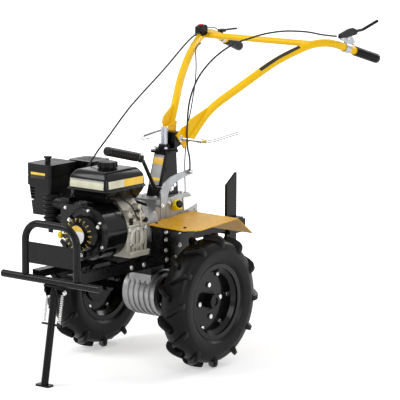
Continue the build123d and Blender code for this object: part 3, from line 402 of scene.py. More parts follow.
class Shape:
    """A solid piece under construction, in millimetres from the ground under the axle."""

    def __init__(self) -> None:
        """Start with no form."""
        self.mesh = bmesh.new()

    def soften(self, points: list, width: float, segments: int = 2) -> None:
        """Bevel the sharp edges among some vertices.

        Args:
            points: the vertices whose edges are looked at.
            width: the bevel's width in millimetres, 0 for none.
            segments: steps across the bevel.
        """
        if not width:
            return
        edges = {edge for point in points if point.is_valid for edge in point.link_edges
                 if len(edge.link_faces) == 2 and edge.calc_face_angle(0.0) > radians(BEVEL_FROM_DEG)}
        bmesh.ops.bevel(self.mesh, geom=list(edges), offset=width * MM, affect="EDGES", segments=segments,
                        profile=0.5, material=-1, clamp_overlap=True)

    def block(self, place: Point, size: Point, bevel: float = 1.0, turn: object = None) -> None:
        """A box with soft edges, turned about its middle."""
        matrix = Matrix.Translation(at(*place)) @ (turn or Matrix.Identity(4)) @ Matrix.Diagonal(
            (*(part * MM for part in size), 1.0))
        made = bmesh.ops.create_cube(self.mesh, size=1.0, matrix=matrix)
        self.soften(made["verts"], bevel)

    def bar(self, middle: Vector, along: Vector, radius: float, length: float, sides: int) -> list:
        """A bar round its middle in metres, its radius in millimetres, and the vertices that it got."""
        return bmesh.ops.create_cone(self.mesh, cap_ends=True, segments=sides, radius1=radius * MM,
                                     radius2=radius * MM, depth=length, matrix=facing(middle, along))["verts"]

    def cylinder(self, start: Point, end: Point, radius: float, bevel: float) -> None:
        """A round bar with soft edges between two places."""
        first, last = at(*start), at(*end)
        way = last - first
        self.soften(self.bar((first + last) / 2, way, radius, way.length, 40), bevel)

    def lathe(self, place: Point, along: Point, profile: list, steps: int = 64) -> None:
        """A turned form.

        Args:
            place: the start of the axis.
            along: the axis's direction.
            profile: pairs of distance along the axis and radius, from start to end.
            steps: sides of the full turn.
        """
        base = facing(at(*place), along)
        points = [self.mesh.verts.new(base @ Vector((radius * MM, 0.0, reach * MM)))
                  for reach, radius in profile]
        edges = [self.mesh.edges.new(pair) for pair in zip(points, points[1:])]
        bmesh.ops.spin(self.mesh, geom=points + edges, cent=at(*place), axis=Vector(along).normalized(),
                       dvec=(0, 0, 0), angle=2 * pi, steps=steps, use_merge=True)

    def prism(self, outline: list, place: Point, x_way: Point, y_way: Point, thickness: float,
              bevel: float = 0.0) -> None:
        """A flat outline raised to a thickness.

        Args:
            outline: corners on the plane.
            place: the plane's origin.
            x_way: the outline's first direction.
            y_way: its second direction.
            thickness: height along the two directions' cross product.
            bevel: width of the softened edges.
        """
        across, up = Vector(x_way).normalized(), Vector(y_way).normalized()
        points = [self.mesh.verts.new(at(*place) + (across * u + up * v) * MM) for u, v in outline]
        grown = bmesh.ops.extrude_face_region(self.mesh, geom=[self.mesh.faces.new(points)])["geom"]
        tops = [part for part in grown if isinstance(part, bmesh.types.BMVert)]
        bmesh.ops.translate(self.mesh, verts=tops, vec=across.cross(up) * thickness * MM)
        self.soften(points + tops, bevel)

    def loft(self, rings: list, bevel: float = 0.0) -> None:
        """A solid through rings of equally many corners, closed at both ends.

        Args:
            rings: lists of places.
            bevel: width of the softened edges.
        """
        loops, points = [], []
        for ring in rings:
            corners = [self.mesh.verts.new(at(*place)) for place in ring]
            loops.append([self.mesh.edges.new(pair) for pair in zip(corners, corners[1:] + corners[:1])])
            points += corners
        for first, second in zip(loops, loops[1:]):
            bmesh.ops.bridge_loops(self.mesh, edges=first + second)
        for end in (loops[0], loops[-1]):
            bmesh.ops.contextual_create(self.mesh, geom=end)
        self.soften(points, bevel)

    def bolt_heads(self, places: list, along: Point, across: float, high: float,
                   washer: float = 1.5) -> None:
        """Equal hexagon bolt heads on their washers.

        Args:
            places: where the heads stand.
            along: the way that they point.
            across: the hexagon's radius over its corners.
            high: the head's height.
            washer: the washer's thickness, 0 for none.
        """
        way = Vector(along).normalized()
        parts = ((across * 1.35, 0.0, washer, 24), (across, washer, high, 6))
        for place in places:
            for radius, start, depth, sides in parts:
                if depth:
                    middle = at(*place) + way * (start + depth / 2) * MM
                    self.soften(self.bar(middle, way, radius, depth * MM, sides), 0.5, 1)

    def repeat(self, start: set, turns: int, centre: Point, axis: Point) -> None:
        """Copy what was added since a set of vertices round an axis."""
        fresh = [point for point in self.mesh.verts if point not in start]
        geom = fresh + list({edge for point in fresh for edge in point.link_edges}) + list(
            {face for point in fresh for face in point.link_faces})
        for index in range(1, turns):
            copy = bmesh.ops.duplicate(self.mesh, geom=geom)["geom"]
            points = [part for part in copy if isinstance(part, bmesh.types.BMVert)]
            bmesh.ops.rotate(self.mesh, verts=points, cent=at(*centre),
                             matrix=Matrix.Rotation(2 * pi * index / turns, 3, Vector(axis)))

    def finish(self, name: str, body: Body, finish: Finish, replaces: tuple = (),
               sharp: float = 35.0) -> None:
        """Close the form, smooth it and place it.

        Args:
            name: the piece's name.
            body: the body that it rides on.
            finish: its surface.
            replaces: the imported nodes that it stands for.
            sharp: edges over this angle in degrees stay sharp.
        """
        bmesh.ops.remove_doubles(self.mesh, verts=self.mesh.verts, dist=1e-6)
        bmesh.ops.recalc_face_normals(self.mesh, faces=self.mesh.faces)
        data = bpy.data.meshes.new(name)
        self.mesh.to_mesh(data)
        self.mesh.free()
        data.shade_smooth()
        data.set_sharp_from_angle(angle=radians(sharp))
        place_piece(bpy.data.objects.new(name, data), body, finish, replaces)


def lay_label(name: str, finish: Finish, place: Point, ways: tuple[Point, Point],
              span: tuple[float, float], height: float, thickness: float = 0.6) -> None:
    """Lay a bare rectangular label on a face of the chassis.

    Args:
        name: the piece's name.
        finish: its colour.
        place: the origin of its lower edge.
        ways: the directions of its lower edge and of its height.
        span: where the lower edge begins and ends.
        height: its height.
        thickness: how far it stands off its plane.
    """
    (left, right), shape = span, Shape()
    shape.prism([(left, 0), (right, 0), (right, height), (left, height)], place, *ways, thickness, 0.2)
    shape.finish(name, Body.CHASSIS, finish)


def rib_profile(count: int, start: float, pitch: float, tooth: tuple) -> list:
    """A turned profile's repeated ribs: pairs of reach and radius of one tooth, at each step of the pitch."""
    return [(start + pitch * index + reach, radius) for index in range(count) for reach, radius in tooth]


def on_circle(centre: Point, radius: float, turn_deg: float, axis: str) -> Point:
    """A place on a circle that stands across the X or the Y axis, turned from +Y or +X towards +Z."""
    level, rise = radius * cos(radians(turn_deg)), radius * sin(radians(turn_deg))
    x, y, z = centre
    return (x, y + level, z + rise) if axis == "X" else (x + level, y, z + rise)


@dataclass
class Cable:
    """A round flexible cable or a wire helix along control points."""

    name: str
    points: list[Point]
    radius: float

    def make(self) -> bpy.types.Object:
        """The cable's smooth curve, not yet on a body."""
        data = bpy.data.curves.new(self.name, "CURVE")
        data.dimensions = "3D"
        data.bevel_depth = self.radius * MM
        data.bevel_resolution = 4
        data.use_fill_caps = True
        line = data.splines.new("NURBS")
        line.points.add(len(self.points) - 1)
        for knot, place in zip(line.points, self.points):
            knot.co = (*at(*place), 1.0)
        line.order_u = 3
        line.use_endpoint_u = True
        line.resolution_u = 8
        return bpy.data.objects.new(self.name, data)


@dataclass
class Wheel:
    """One wheel's tyre with its lugs, and the bright bolts through its rim."""

    side: int
    track: float = 530.0
    lugs: int = 12
    sweep: float = 38.0
    lug_from: float = -6.0
    lug_span: float = 62.0
    lug_foot_half: float = 13.0
    lug_top_half: float = 8.5
    rim_face: float = 2.4
    rim_bolts: tuple[tuple[float, int, float], ...] = ((104.0, 6, 8.6), (60.0, 4, 9.7))
    half_section: tuple[tuple[float, float], ...] = (
        (38, 127.3), (38.5, 139), (41, 143.5), (44, 146), (47, 151.5), (49.4, 153), (50.2, 157), (52, 168),
        (53, 184), (52.6, 197), (51.2, 199), (50.6, 207), (46, 216.5), (38, 222.5), (28, 226.5), (14, 229),
        (0, 230))
    lug_sections: tuple[tuple[float, float, float, float], ...] = (
        (-6, 226, -4.5, 247.0), (12, 226, 12, 247.8), (28, 223, 31, 246.6), (38, 217, 46, 242),
        (43, 211, 53.5, 233), (46, 204, 56, 220), (48, 196, 54.4, 204))

    def body(self) -> Body:
        """The wheel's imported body."""
        return Body.LEFT_WHEEL if self.side > 0 else Body.RIGHT_WHEEL

    def word(self) -> str:
        """The side as a word, for names."""
        return "left" if self.side > 0 else "right"

    def centre(self) -> Point:
        """The wheel's middle."""
        return (self.side * self.track / 2, 0.0, AXLE_Z)

    def lug_ring(self, reach_side: int, section: tuple) -> list:
        """The four corners of a lug's cross-section, wrapped round the tyre.

        Args:
            reach_side: the side of the tread that the lug covers.
            section: the base's offset and radius, and the top's.

        Returns:
            The places of the four corners.
        """
        base_x, base_r, top_x, top_r = section
        middle = self.sweep * ((max(top_x, self.lug_from) - self.lug_from) / self.lug_span - 0.5)
        foot, top = self.lug_foot_half, self.lug_top_half
        corners = []
        for offset, radius, half in ((base_x, base_r, -foot), (base_x, base_r, foot),
                                     (top_x, top_r, top), (top_x, top_r, -top)):
            turn = (middle + half) / radius
            corners.append((self.centre()[0] + reach_side * offset, radius * sin(turn),
                            AXLE_Z + radius * cos(turn)))
        return corners

    def tyre(self) -> None:
        """The carcass as a turned section, with lugs bevelled and repeated round it."""
        shape = Shape()
        section = [(-offset, radius) for offset, radius in self.half_section]
        section += [(offset, radius) for offset, radius in reversed(self.half_section[:-1])]
        shape.lathe(self.centre(), (1, 0, 0), section + section[:1], steps=120)
        for reach_side in (1, -1):
            start = set(shape.mesh.verts)
            shape.loft([self.lug_ring(reach_side, section) for section in self.lug_sections], bevel=2.2)
            fresh = [point for point in shape.mesh.verts if point not in start]
            if reach_side < 0:
                bmesh.ops.rotate(shape.mesh, verts=fresh, cent=at(*self.centre()),
                                 matrix=Matrix.Rotation(pi / self.lugs, 3, "X"))
            shape.repeat(start, self.lugs, self.centre(), (1, 0, 0))
        shape.finish(f"tyre_body_{self.word()}", self.body(), TYRE_RUBBER, (f"tyre_{self.word()}",), sharp=40)

    def bolts(self) -> None:
        """Zinc bolts through the disc, with their nuts on its inner face."""
        shape = Shape()
        for way in (self.side, -self.side):
            face = (self.centre()[0] + way * self.rim_face, 0, AXLE_Z)
            for radius, count, across in self.rim_bolts:
                shape.bolt_heads([on_circle(face, radius, self.side * (5 + 360 / count * index), "X")
                             for index in range(count)], (way, 0, 0), across, 7.5, 0)
        shape.finish(f"rim_bolts_{self.word()}", self.body(), ZINC)

    def build(self) -> None:
        """Make the wheel's pieces."""
        self.tyre()
        self.bolts()


@dataclass
class Engine:
    """The engine's tank, labels, starter, crankcase details and the air filter's parts."""

    crank_z: float = 520.0
    starter_front: float = -426.0
    shroud_front: float = -386.2
    slots: int = 18
    case_side: float = 94.0
    boss_rows: tuple[float, ...] = (-252.0, -205.0, -160.0)
    boss_z: float = 524.0
    tank_corner: float = 11.0
    tank_x: float = -8.0
    tank_y: float = -251.0
    tank_half: tuple[float, float] = (92.0, 111.0)
    tank_levels: tuple[tuple[float, float], ...] = (
        (628, -26), (631, -20), (655, -7), (671, -1), (672.5, 3), (677, 3), (678.5, 0), (714, -3),
        (722, -6), (736, -16), (741, -22), (742.5, -30))

    def rounded(self, inset: float, level: float) -> list:
        """A ring of places round the tank at a level, with round corners."""
        ring, corner = [], self.tank_corner
        half_x, half_y = self.tank_half[0] + inset, self.tank_half[1] + inset
        for quarter, (sign_x, sign_y) in enumerate(((1, 1), (-1, 1), (-1, -1), (1, -1))):
            for step in range(7):
                turn = radians(90 * quarter + 15 * step)
                ring.append((self.tank_x + sign_x * (half_x - corner) + corner * cos(turn),
                             self.tank_y + sign_y * (half_y - corner) + corner * sin(turn), level))
        return ring

    def tank(self) -> None:
        """The pressed tank: lower shell, rolled seam, upright wall and sloping shoulders."""
        shape = Shape()
        shape.loft([self.rounded(inset, level) for level, inset in self.tank_levels])
        shape.block((-44, -205, 632), (60, 94, 38), 2)
        shape.lathe((4, -261, 741), (0, 0, 1), [(0, 0), (0, 36), (3, 36), (5, 32), (6, 28), (6, 0)])
        shape.finish("tank_shell", Body.CHASSIS, GLOSS_BLACK, ("fuel_tank",), sharp=50)

    def labels(self) -> None:
        """Bare label plates on the tank and the air filter, in their colours."""
        wall = self.tank_y - self.tank_half[1]
        leaning, upright = (0, 0.06, 1), (0, 0, 1)
        for name, finish, span, low, high, y, rise in (
                ("tank_label_front", LABEL_CREAM, (-88, 70), 681, 712, wall + 0.2, leaning),
                ("tank_label_head", LABEL_GREY, (-88, 70), 706, 712.5, wall + 1.3, leaning),
                ("filter_label_gold", LABEL_GOLD, (-306, -237), 698, 707, -330, upright),
                ("filter_label_dark", LABEL_DARK, (-306, -237), 685, 698, -330, upright)):
            lay_label(name, finish, (0, y, low), ((1, 0, 0), rise), span, high - low)
        side = self.tank_x + self.tank_half[0] - 0.4
        for name, finish, span in (("tank_label_pale", LABEL_CREAM, (-348, -262)),
                                   ("tank_label_gold", LABEL_GOLD, (-261, -154))):
            lay_label(name, finish, (side, 0, 684), ((0, 1, 0), (-0.06, 0, 1)), span, 27, 0.8)

    def starter(self) -> None:
        """The starter's label disc in two colours, its rings, the screen behind its slots and its bolts."""
        forward, front = (0, -1, 0), self.shroud_front
        disc = Shape()
        disc.lathe((0, self.starter_front, self.crank_z), forward,
                   [(0, 0), (0, 35), (0.8, 35), (1, 34.4), (1, 0)])
        disc.finish("starter_label", Body.CHASSIS, LABEL_WHITE)
        cap = Shape()
        arc = [(34.2 * cos(radians(turn)), 34.2 * sin(radians(turn))) for turn in range(24, 158, 6)]
        cap.prism(arc, (0, self.starter_front - 1, self.crank_z), (1, 0, 0), (0, 0, 1), 0.4)
        cap.finish("starter_label_gold", Body.CHASSIS, LABEL_GOLD)
        rings = Shape()
        rings.lathe((0, self.starter_front - 0.4, self.crank_z), forward,
                    [(0, 35), (0, 38), (1.4, 37.6), (1.8, 36.6), (1.4, 35), (0, 35)])
        rings.lathe((0, front, self.crank_z), forward, [(0, 84), (0, 90), (3, 89), (4, 87), (3, 84), (0, 84)])
        rings.finish("starter_rings", Body.CHASSIS, GLOSS_BLACK)
        screen = Shape()
        for index in range(self.slots):
            turn = 360 / self.slots * index
            screen.block(on_circle((0, -417.5, self.crank_z), 54, turn, "Y"), (13.0, 9.0, 4.4), 0.4,
                         Matrix.Rotation(-radians(turn), 4, "Y"))
        screen.finish("starter_screen", Body.CHASSIS, BRASS_SCREEN)
        bolts = Shape()
        bolts.bolt_heads([on_circle((0, -394.1, self.crank_z), 78, turn, "Y") for turn in (25, 145, 265)],
                    forward, 5.5, 4.5)
        bolts.bolt_heads([(74, front, 566), (-96, -378.1, 604), (-104, -378.1, 512), (84, front, 480),
                     (20, front, 606)], forward, 4.6, 4)
        bolts.finish("starter_bolts", Body.CHASSIS, ZINC)

    def castings(self) -> None:
        """Ribs, bosses and the round cover on the visible left side of the crankcase."""
        shape, face = Shape(), self.case_side
        shape.lathe((face, -205, 492), (1, 0, 0),
                    [(-1, 0), (-1, 40), (4, 40), (6, 37), (6, 27), (3, 25), (3, 0)], 48)
        for y in (-252, -228, -182, -160):
            shape.block((face + 1.5, y, 482), (6, 5, 88), 1.5)
        shape.block((face + 2, -205, 538), (7, 100, 9), 2)
        shape.block((face + 6, -205, 441), (22, 112, 8), 2)
        for y in self.boss_rows:
            shape.cylinder((face - 2, y, self.boss_z), (face + 8, y, self.boss_z), 8, 1)
        shape.block((62, -205, 598), (66, 92, 8), 2, Matrix.Rotation(radians(48), 4, "Y"))
        for y, z, radius in ((-246, 582, 13), (-196, 604, 10), (-176, 566, 12), (-222, 556, 8)):
            shape.cylinder((70, y, z), (101, y, z), radius, 1.5)
        shape.block((96, -212, 576), (10, 84, 7), 1.5, Matrix.Rotation(radians(-24), 4, "X"))
        shape.block((97, -190, 556), (12, 8, 60), 1.5, Matrix.Rotation(radians(14), 4, "X"))
        shape.finish("crankcase_ribs", Body.CHASSIS, PALE_CASTING)

    def fittings(self) -> None:
        """The dark fittings, and thin black strips painted as the shade in the gaps between the crankcase's
        ribs.
        """
        shape = Shape()
        shape.block((97.5, -206, 590), (7, 26, 10), 1.5)
        shape.block((96, -238, 552), (6, 16, 26), 1.5)
        shape.cylinder((92, -160, 552), (104, -160, 552), 9, 1)
        shape.cylinder((30, -140, 612), (96, -152, 604), 5, 0.8)
        # thin black strips: painted shade in the gaps between the ribs, not parts
        for y in (-240, -216, -194, -170):
            shape.block((97.2, y, 482), (1.2, 3, 76), 0.4)
        shape.finish("crankcase_fittings_and_painted_gaps", Body.CHASSIS, BLACK_PLASTIC)

    def bolts(self) -> None:
        """The crankcase's bolts, and the lead that runs down beside them."""
        shape, face = Shape(), self.case_side
        shape.bolt_heads([(face + 8, y, self.boss_z) for y in self.boss_rows], (1, 0, 0), 6, 5)
        shape.bolt_heads([(face + 4, y, z) for y, z in ((-240, 470), (-172, 470), (-205, self.boss_z))],
                         (1, 0, 0), 5, 4)
        shape.bolt_heads([(face + 8, -246, 436.5), (face + 8, -164, 436.5)], (0, 0, 1), 7, 6)
        shape.bolt_heads([(30, -262, 446)], (0, -1, 0), 6, 5)
        shape.finish("crankcase_bolts", Body.CHASSIS, ZINC)
        lead = Cable("ignition_lead", [(60, -262, 640), (92, -250, 628), (104, -232, 600), (102, -212, 566),
                                       (98, -180, 548), (84, -152, 540)], 2.6).make()
        place_piece(lead, Body.CHASSIS, CABLE_SHEATH)

    def filter(self) -> None:
        """The ribbed intake hose under the air filter, its knob and the yellow oil plug."""
        hose = Shape()
        folds = rib_profile(7, 0, 16, ((0, 30), (4, 37), (9, 37), (13, 30)))
        hose.lathe((-226, -298, 518), (0, 0, 1), [(0, 0)] + folds + [(112, 30), (112, 0)], 48)
        hose.cylinder((-226, -298, 545), (-160, -290, 545), 20, 2)
        hose.finish("intake_hose", Body.CHASSIS, BLACK_PLASTIC)
        knob = Shape()
        knob.lathe((-263, -285, 764.2), (0, 0, 1),
                   [(0, 0), (0, 9), (-1, 15), (-7, 15), (-9, 10.4), (-24, 10.4)])
        knob.finish("filter_knob", Body.CHASSIS, BLACK_PLASTIC)
        plug = Shape()
        plug.cylinder((-119, -372, 500), (-84, -290, 488), 8, 0.5)
        plug.lathe((-119, -368, 500), (-0.25, -1, 0),
                   [(0, 0), (0, 11), (8, 12.5), (15, 12), (17, 9), (17, 0)], 32)
        plug.finish("oil_plug", Body.CHASSIS, CAP_YELLOW)

    def build(self) -> None:
        """Make the engine's pieces."""
        self.tank()
        self.labels()
        self.starter()
        self.castings()
        self.fittings()
        self.bolts()
        self.filter()


@dataclass
class Frame:
    """The front frame's bolts, the plates behind the fender posts and the caps of the cross tube."""

    rail_face: float = 100.0
    pad_face: float = 101.1
    plate_thickness: float = 6.0
    plate_outline: tuple[tuple[float, float], ...] = (
        (-56, 352), (48, 352), (84, 392), (128, 470), (178, 478), (178, 512), (-56, 512))
    cross_y: float = -566.0
    cross_z: float = 375.0
    cross_half: float = 230.0

    def bolts(self) -> None:
        """Zinc bolts through the rails and the case's upright pads."""
        shape = Shape()
        for side in (1, -1):
            way = (side, 0, 0)
            shape.bolt_heads([(side * self.rail_face, y, 386) for y in (-240, -170, -40, 10)], way, 7, 5)
            shape.bolt_heads([(side * self.pad_face, y, z) for y, z in (
                (-46, 490), (-46, 461), (-46, 422), (34, 480), (34, 430))], way, 6.5, 5)
        shape.bolt_heads([(82, y, 404.3) for y in (-240, -170)], (0, 0, 1), 7, 6)
        shape.finish("frame_bolts", Body.CHASSIS, ZINC)

    def plates(self) -> None:
        """The side plates with their folds under the fenders."""
        shape, thick = Shape(), self.plate_thickness
        for side in (1, -1):
            shape.prism(self.plate_outline, (side * 98 - thick / 2, 0, 0), (0, 1, 0), (0, 0, 1), thick, 1.2)
            shape.block((side * 78, 0, 508), (46, 100, thick), 1)
        shape.finish("side_plates", Body.CHASSIS, SATIN_BLACK)

    def caps(self) -> None:
        """Black end caps of the cross tube and the small tab under the hoop."""
        shape = Shape()
        for side in (1, -1):
            shape.lathe((side * (self.cross_half - 4), self.cross_y, self.cross_z), (side, 0, 0),
                        [(0, 10.9), (3.9, 10.9), (3.9, 13.3), (3.99, 13.3), (4, 0)])
        shape.block((0, self.cross_y, 557), (22, 4, 14), 1.5)
        shape.finish("frame_caps", Body.CHASSIS, SATIN_BLACK)

    def build(self) -> None:
        """Make the frame's pieces."""
        self.bolts()
        self.plates()
        self.caps()


@dataclass
class Stand:
    """The stand's two wound springs and the nuts of its pivot."""

    pivot: Point = (0.0, -545.0, 334.0)
    foot_y: float = -604.0
    reach: float = 118.0
    spread: float = 36.0
    wire: float = 1.6
    coil: float = 5.4
    turns: int = 15
    steps_a_turn: int = 8

    def springs(self) -> None:
        """Two helices between the pivot bolt and the cross pin."""
        lean = Vector((0, self.foot_y - self.pivot[1], -self.pivot[2])).normalized()
        across, out = Vector((1, 0, 0)), lean.cross(Vector((1, 0, 0)))
        for side, word in ((1, "left"), (-1, "right")):
            start = Vector(self.pivot) + across * side * self.spread + lean * 9
            steps = self.turns * self.steps_a_turn
            points = []
            for step in range(steps + 1):
                turn = 2 * pi * step / self.steps_a_turn
                along = (self.reach - 16) * step / steps
                radial = across * cos(turn) + out * sin(turn)
                points.append(tuple(start + lean * along + radial * self.coil))
            spring = Cable(f"stand_spring_{word}", points, self.wire).make()
            place_piece(spring, Body.STAND, ZINC, ("stand_springs",) if side > 0 else ())

    def nuts(self) -> None:
        """The zinc washers and nuts on the pivot's ends."""
        shape = Shape()
        for side in (1, -1):
            shape.bolt_heads([(side * 44.1, self.pivot[1], self.pivot[2])], (side, 0, 0), 7, 5)
        shape.finish("stand_nuts", Body.STAND, ZINC)

    def build(self) -> None:
        """Make the stand's pieces."""
        self.springs()
        self.nuts()


@dataclass
class Transmission:
    """The ribs, rings, filler cap and bolts of the castings behind the engine."""

    gearbox_side: float = 66.5
    rear_side: float = 48.5
    drum_half: float = 85.1
    ring_rows: tuple[float, ...] = (-50.0, -25.0, 0.0, 25.0, 50.0)
    filler_foot: Point = (40.0, 52.0, 556.0)
    filler_way: Point = (1.0, 0.0, 0.5)

    def ribs(self) -> None:
        """Stiffening ribs on the gearbox, and the bell housing's flange."""
        shape = Shape()
        for y in (-30, 2):
            shape.block((self.gearbox_side, y, 520), (4, 6, 120), 1.8)
        shape.block((self.gearbox_side, -16, 470), (5, 84, 8), 1.8)
        for y in (110, 150, 190):
            shape.block((self.rear_side, y, 500), (4, 6, 84), 1.6)
        shape.lathe((0, -136, 520), (0, -1, 0), [(0, 92), (0, 99), (4, 99), (5, 97), (5, 92), (0, 92)], 72)
        shape.finish("gearbox_ribs", Body.CHASSIS, GREY_CASTING)

    def bolts(self) -> None:
        """Bolts round the covers on the gearbox and the drum's ends."""
        shape, out = Shape(), (1, 0, 0)
        for x, spots, across, high in (
                (66.1, ((-46, 586), (-46, 476), (16, 586), (20, 476)), 6, 5),
                (48.1, ((92, 560), (204, 530), (204, 470), (92, 470)), 5.5, 4.5)):
            shape.bolt_heads([(x, y, z) for y, z in spots], out, across, high)
        for side in (1, -1):
            shape.bolt_heads([on_circle((side * self.drum_half, 0, AXLE_Z), 58, 30 + 60 * index, "X")
                         for index in range(6)], (side, 0, 0), 5.5, 4.5)
        shape.finish("gearbox_bolts", Body.CHASSIS, ZINC)

    def filler(self) -> None:
        """The filler's dark screw cap in its yellow ring."""
        along = Vector(self.filler_way).normalized()
        shape = Shape()
        shape.lathe(tuple(Vector(self.filler_foot) + along * 47.9), tuple(along),
                    [(-0.4, 0), (-0.4, 14), (8, 14), (10, 12), (10, 0)], 24)
        shape.finish("filler_cap", Body.CHASSIS, BLACK_PLASTIC)

    def drum(self) -> None:
        """Rounded cooling rings over the drum's ribs."""
        shape = Shape()
        ring = [(-0.6, 83), (-0.6, 88), (0.8, 89.6), (5.2, 89.6), (6.6, 88), (6.6, 83), (-0.6, 83)]
        for x in self.ring_rows:
            shape.lathe((x - 3, 0, AXLE_Z), (1, 0, 0), ring, 80)
        shape.finish("drum_rings", Body.CHASSIS, GREY_CASTING)

    def build(self) -> None:
        """Make the transmission's pieces."""
        self.ribs()
        self.bolts()
        self.filler()
        self.drum()


@dataclass
class Column:
    """The steering column's bare decal bands and its bolts."""

    foot_front: float = -4.0
    head_front: float = 44.0
    foot_z: float = 606.1
    head_z: float = 764.0

    def front(self, level: float) -> float:
        """The front face's place at a level."""
        share = (level - self.foot_z) / (self.head_z - self.foot_z)
        return self.foot_front + (self.head_front - self.foot_front) * share

    def band(self, name: str, finish: Finish, low: float, high: float, half: float, proud: float) -> None:
        """One band of colour on the sloping front.

        Args:
            name: the piece's name.
            finish: its colour.
            low: its lower edge.
            high: its upper edge.
            half: half its width.
            proud: how far it stands off the face.
        """
        start = Vector((0, self.front(low), low))
        rise = Vector((0, self.front(high), high)) - start
        out = Vector((1, 0, 0)).cross(rise).normalized()
        lay_label(name, finish, tuple(start + out * proud), ((1, 0, 0), tuple(rise)), (-half, half),
                  rise.length, 0.5)

    def build(self) -> None:
        """Make the bands and the bolts."""
        self.band("column_band_grey", LABEL_GREY, 648, 758, 22.5, 0.05)
        self.band("column_band_gold_high", LABEL_GOLD, 722, 746, 22.7, 0.5)
        self.band("column_band_gold_low", LABEL_GOLD, 662, 674, 22.7, 0.5)
        shape = Shape()
        shape.bolt_heads([(30.1, 88, 642)], (1, 0, 0), 8, 6)
        shape.bolt_heads([(30.1, 40, 622)], (1, 0, 0), 6, 5)
        shape.bolt_heads([(x, y, self.foot_z) for y in (-20, 134) for x in (-30, 30)], (0, 0, 1), 6, 5)
        shape.finish("column_bolts", Body.CHASSIS, ZINC)


@dataclass
class Head:
    """The turning head's ring, bolts and bent lock wire."""

    pivot_y: float = 70.0

    def build(self) -> None:
        """Make the ring, the bolts and the wire."""
        up = (0, 0, 1)
        ring = Shape()
        ring.lathe((0, self.pivot_y, 780.3), up,
                   [(0, 15), (0, 23), (4, 24), (10, 22), (14, 21), (14.2, 15), (0, 15)], 40)
        ring.finish("head_ring", Body.HEAD, SATIN_BLACK)
        bolts = Shape()
        bolts.lathe((0, self.pivot_y, 858), up, [(-1, 13.9), (0, 13.9), (1.2, 12.6), (1.2, 0)], 40)
        bolts.bolt_heads([(26, 46, 780.4), (-26, 46, 780.4)], up, 5.5, 5)
        bolts.finish("head_bolts", Body.HEAD, CHROME)
        wire = Cable("lock_wire", [(-14, 76, 842), (-40, 74, 836), (-70, 72, 822), (-100, 70, 812),
                                   (-106, 64, 806), (-100, 60, 800), (-60, 62, 812)], 2.0).make()
        place_piece(wire, Body.HEAD, STEEL)


@dataclass
class Fenders:
    """Black bolts, and the stiffening strips under each fender's front and inner edges."""

    top: float = 533.0

    def build(self) -> None:
        """Make the bolts and the strips on both sides."""
        bolts, strips = Shape(), Shape()
        for side in (1, -1):
            bolts.bolt_heads([(side * x, y, self.top) for x, y in ((112, -112), (251, -121))],
                             (0, 0, 1), 5, 3, 1.2)
            strips.block((side * 190, -140, 524.5), (170, 5, 11), 1)
            strips.block((side * 112, -70, 524), (6, 120, 12), 1)
        bolts.finish("fender_bolts", Body.CHASSIS, SATIN_BLACK)
        strips.finish("fender_strips", Body.CHASSIS, SATIN_BLACK)


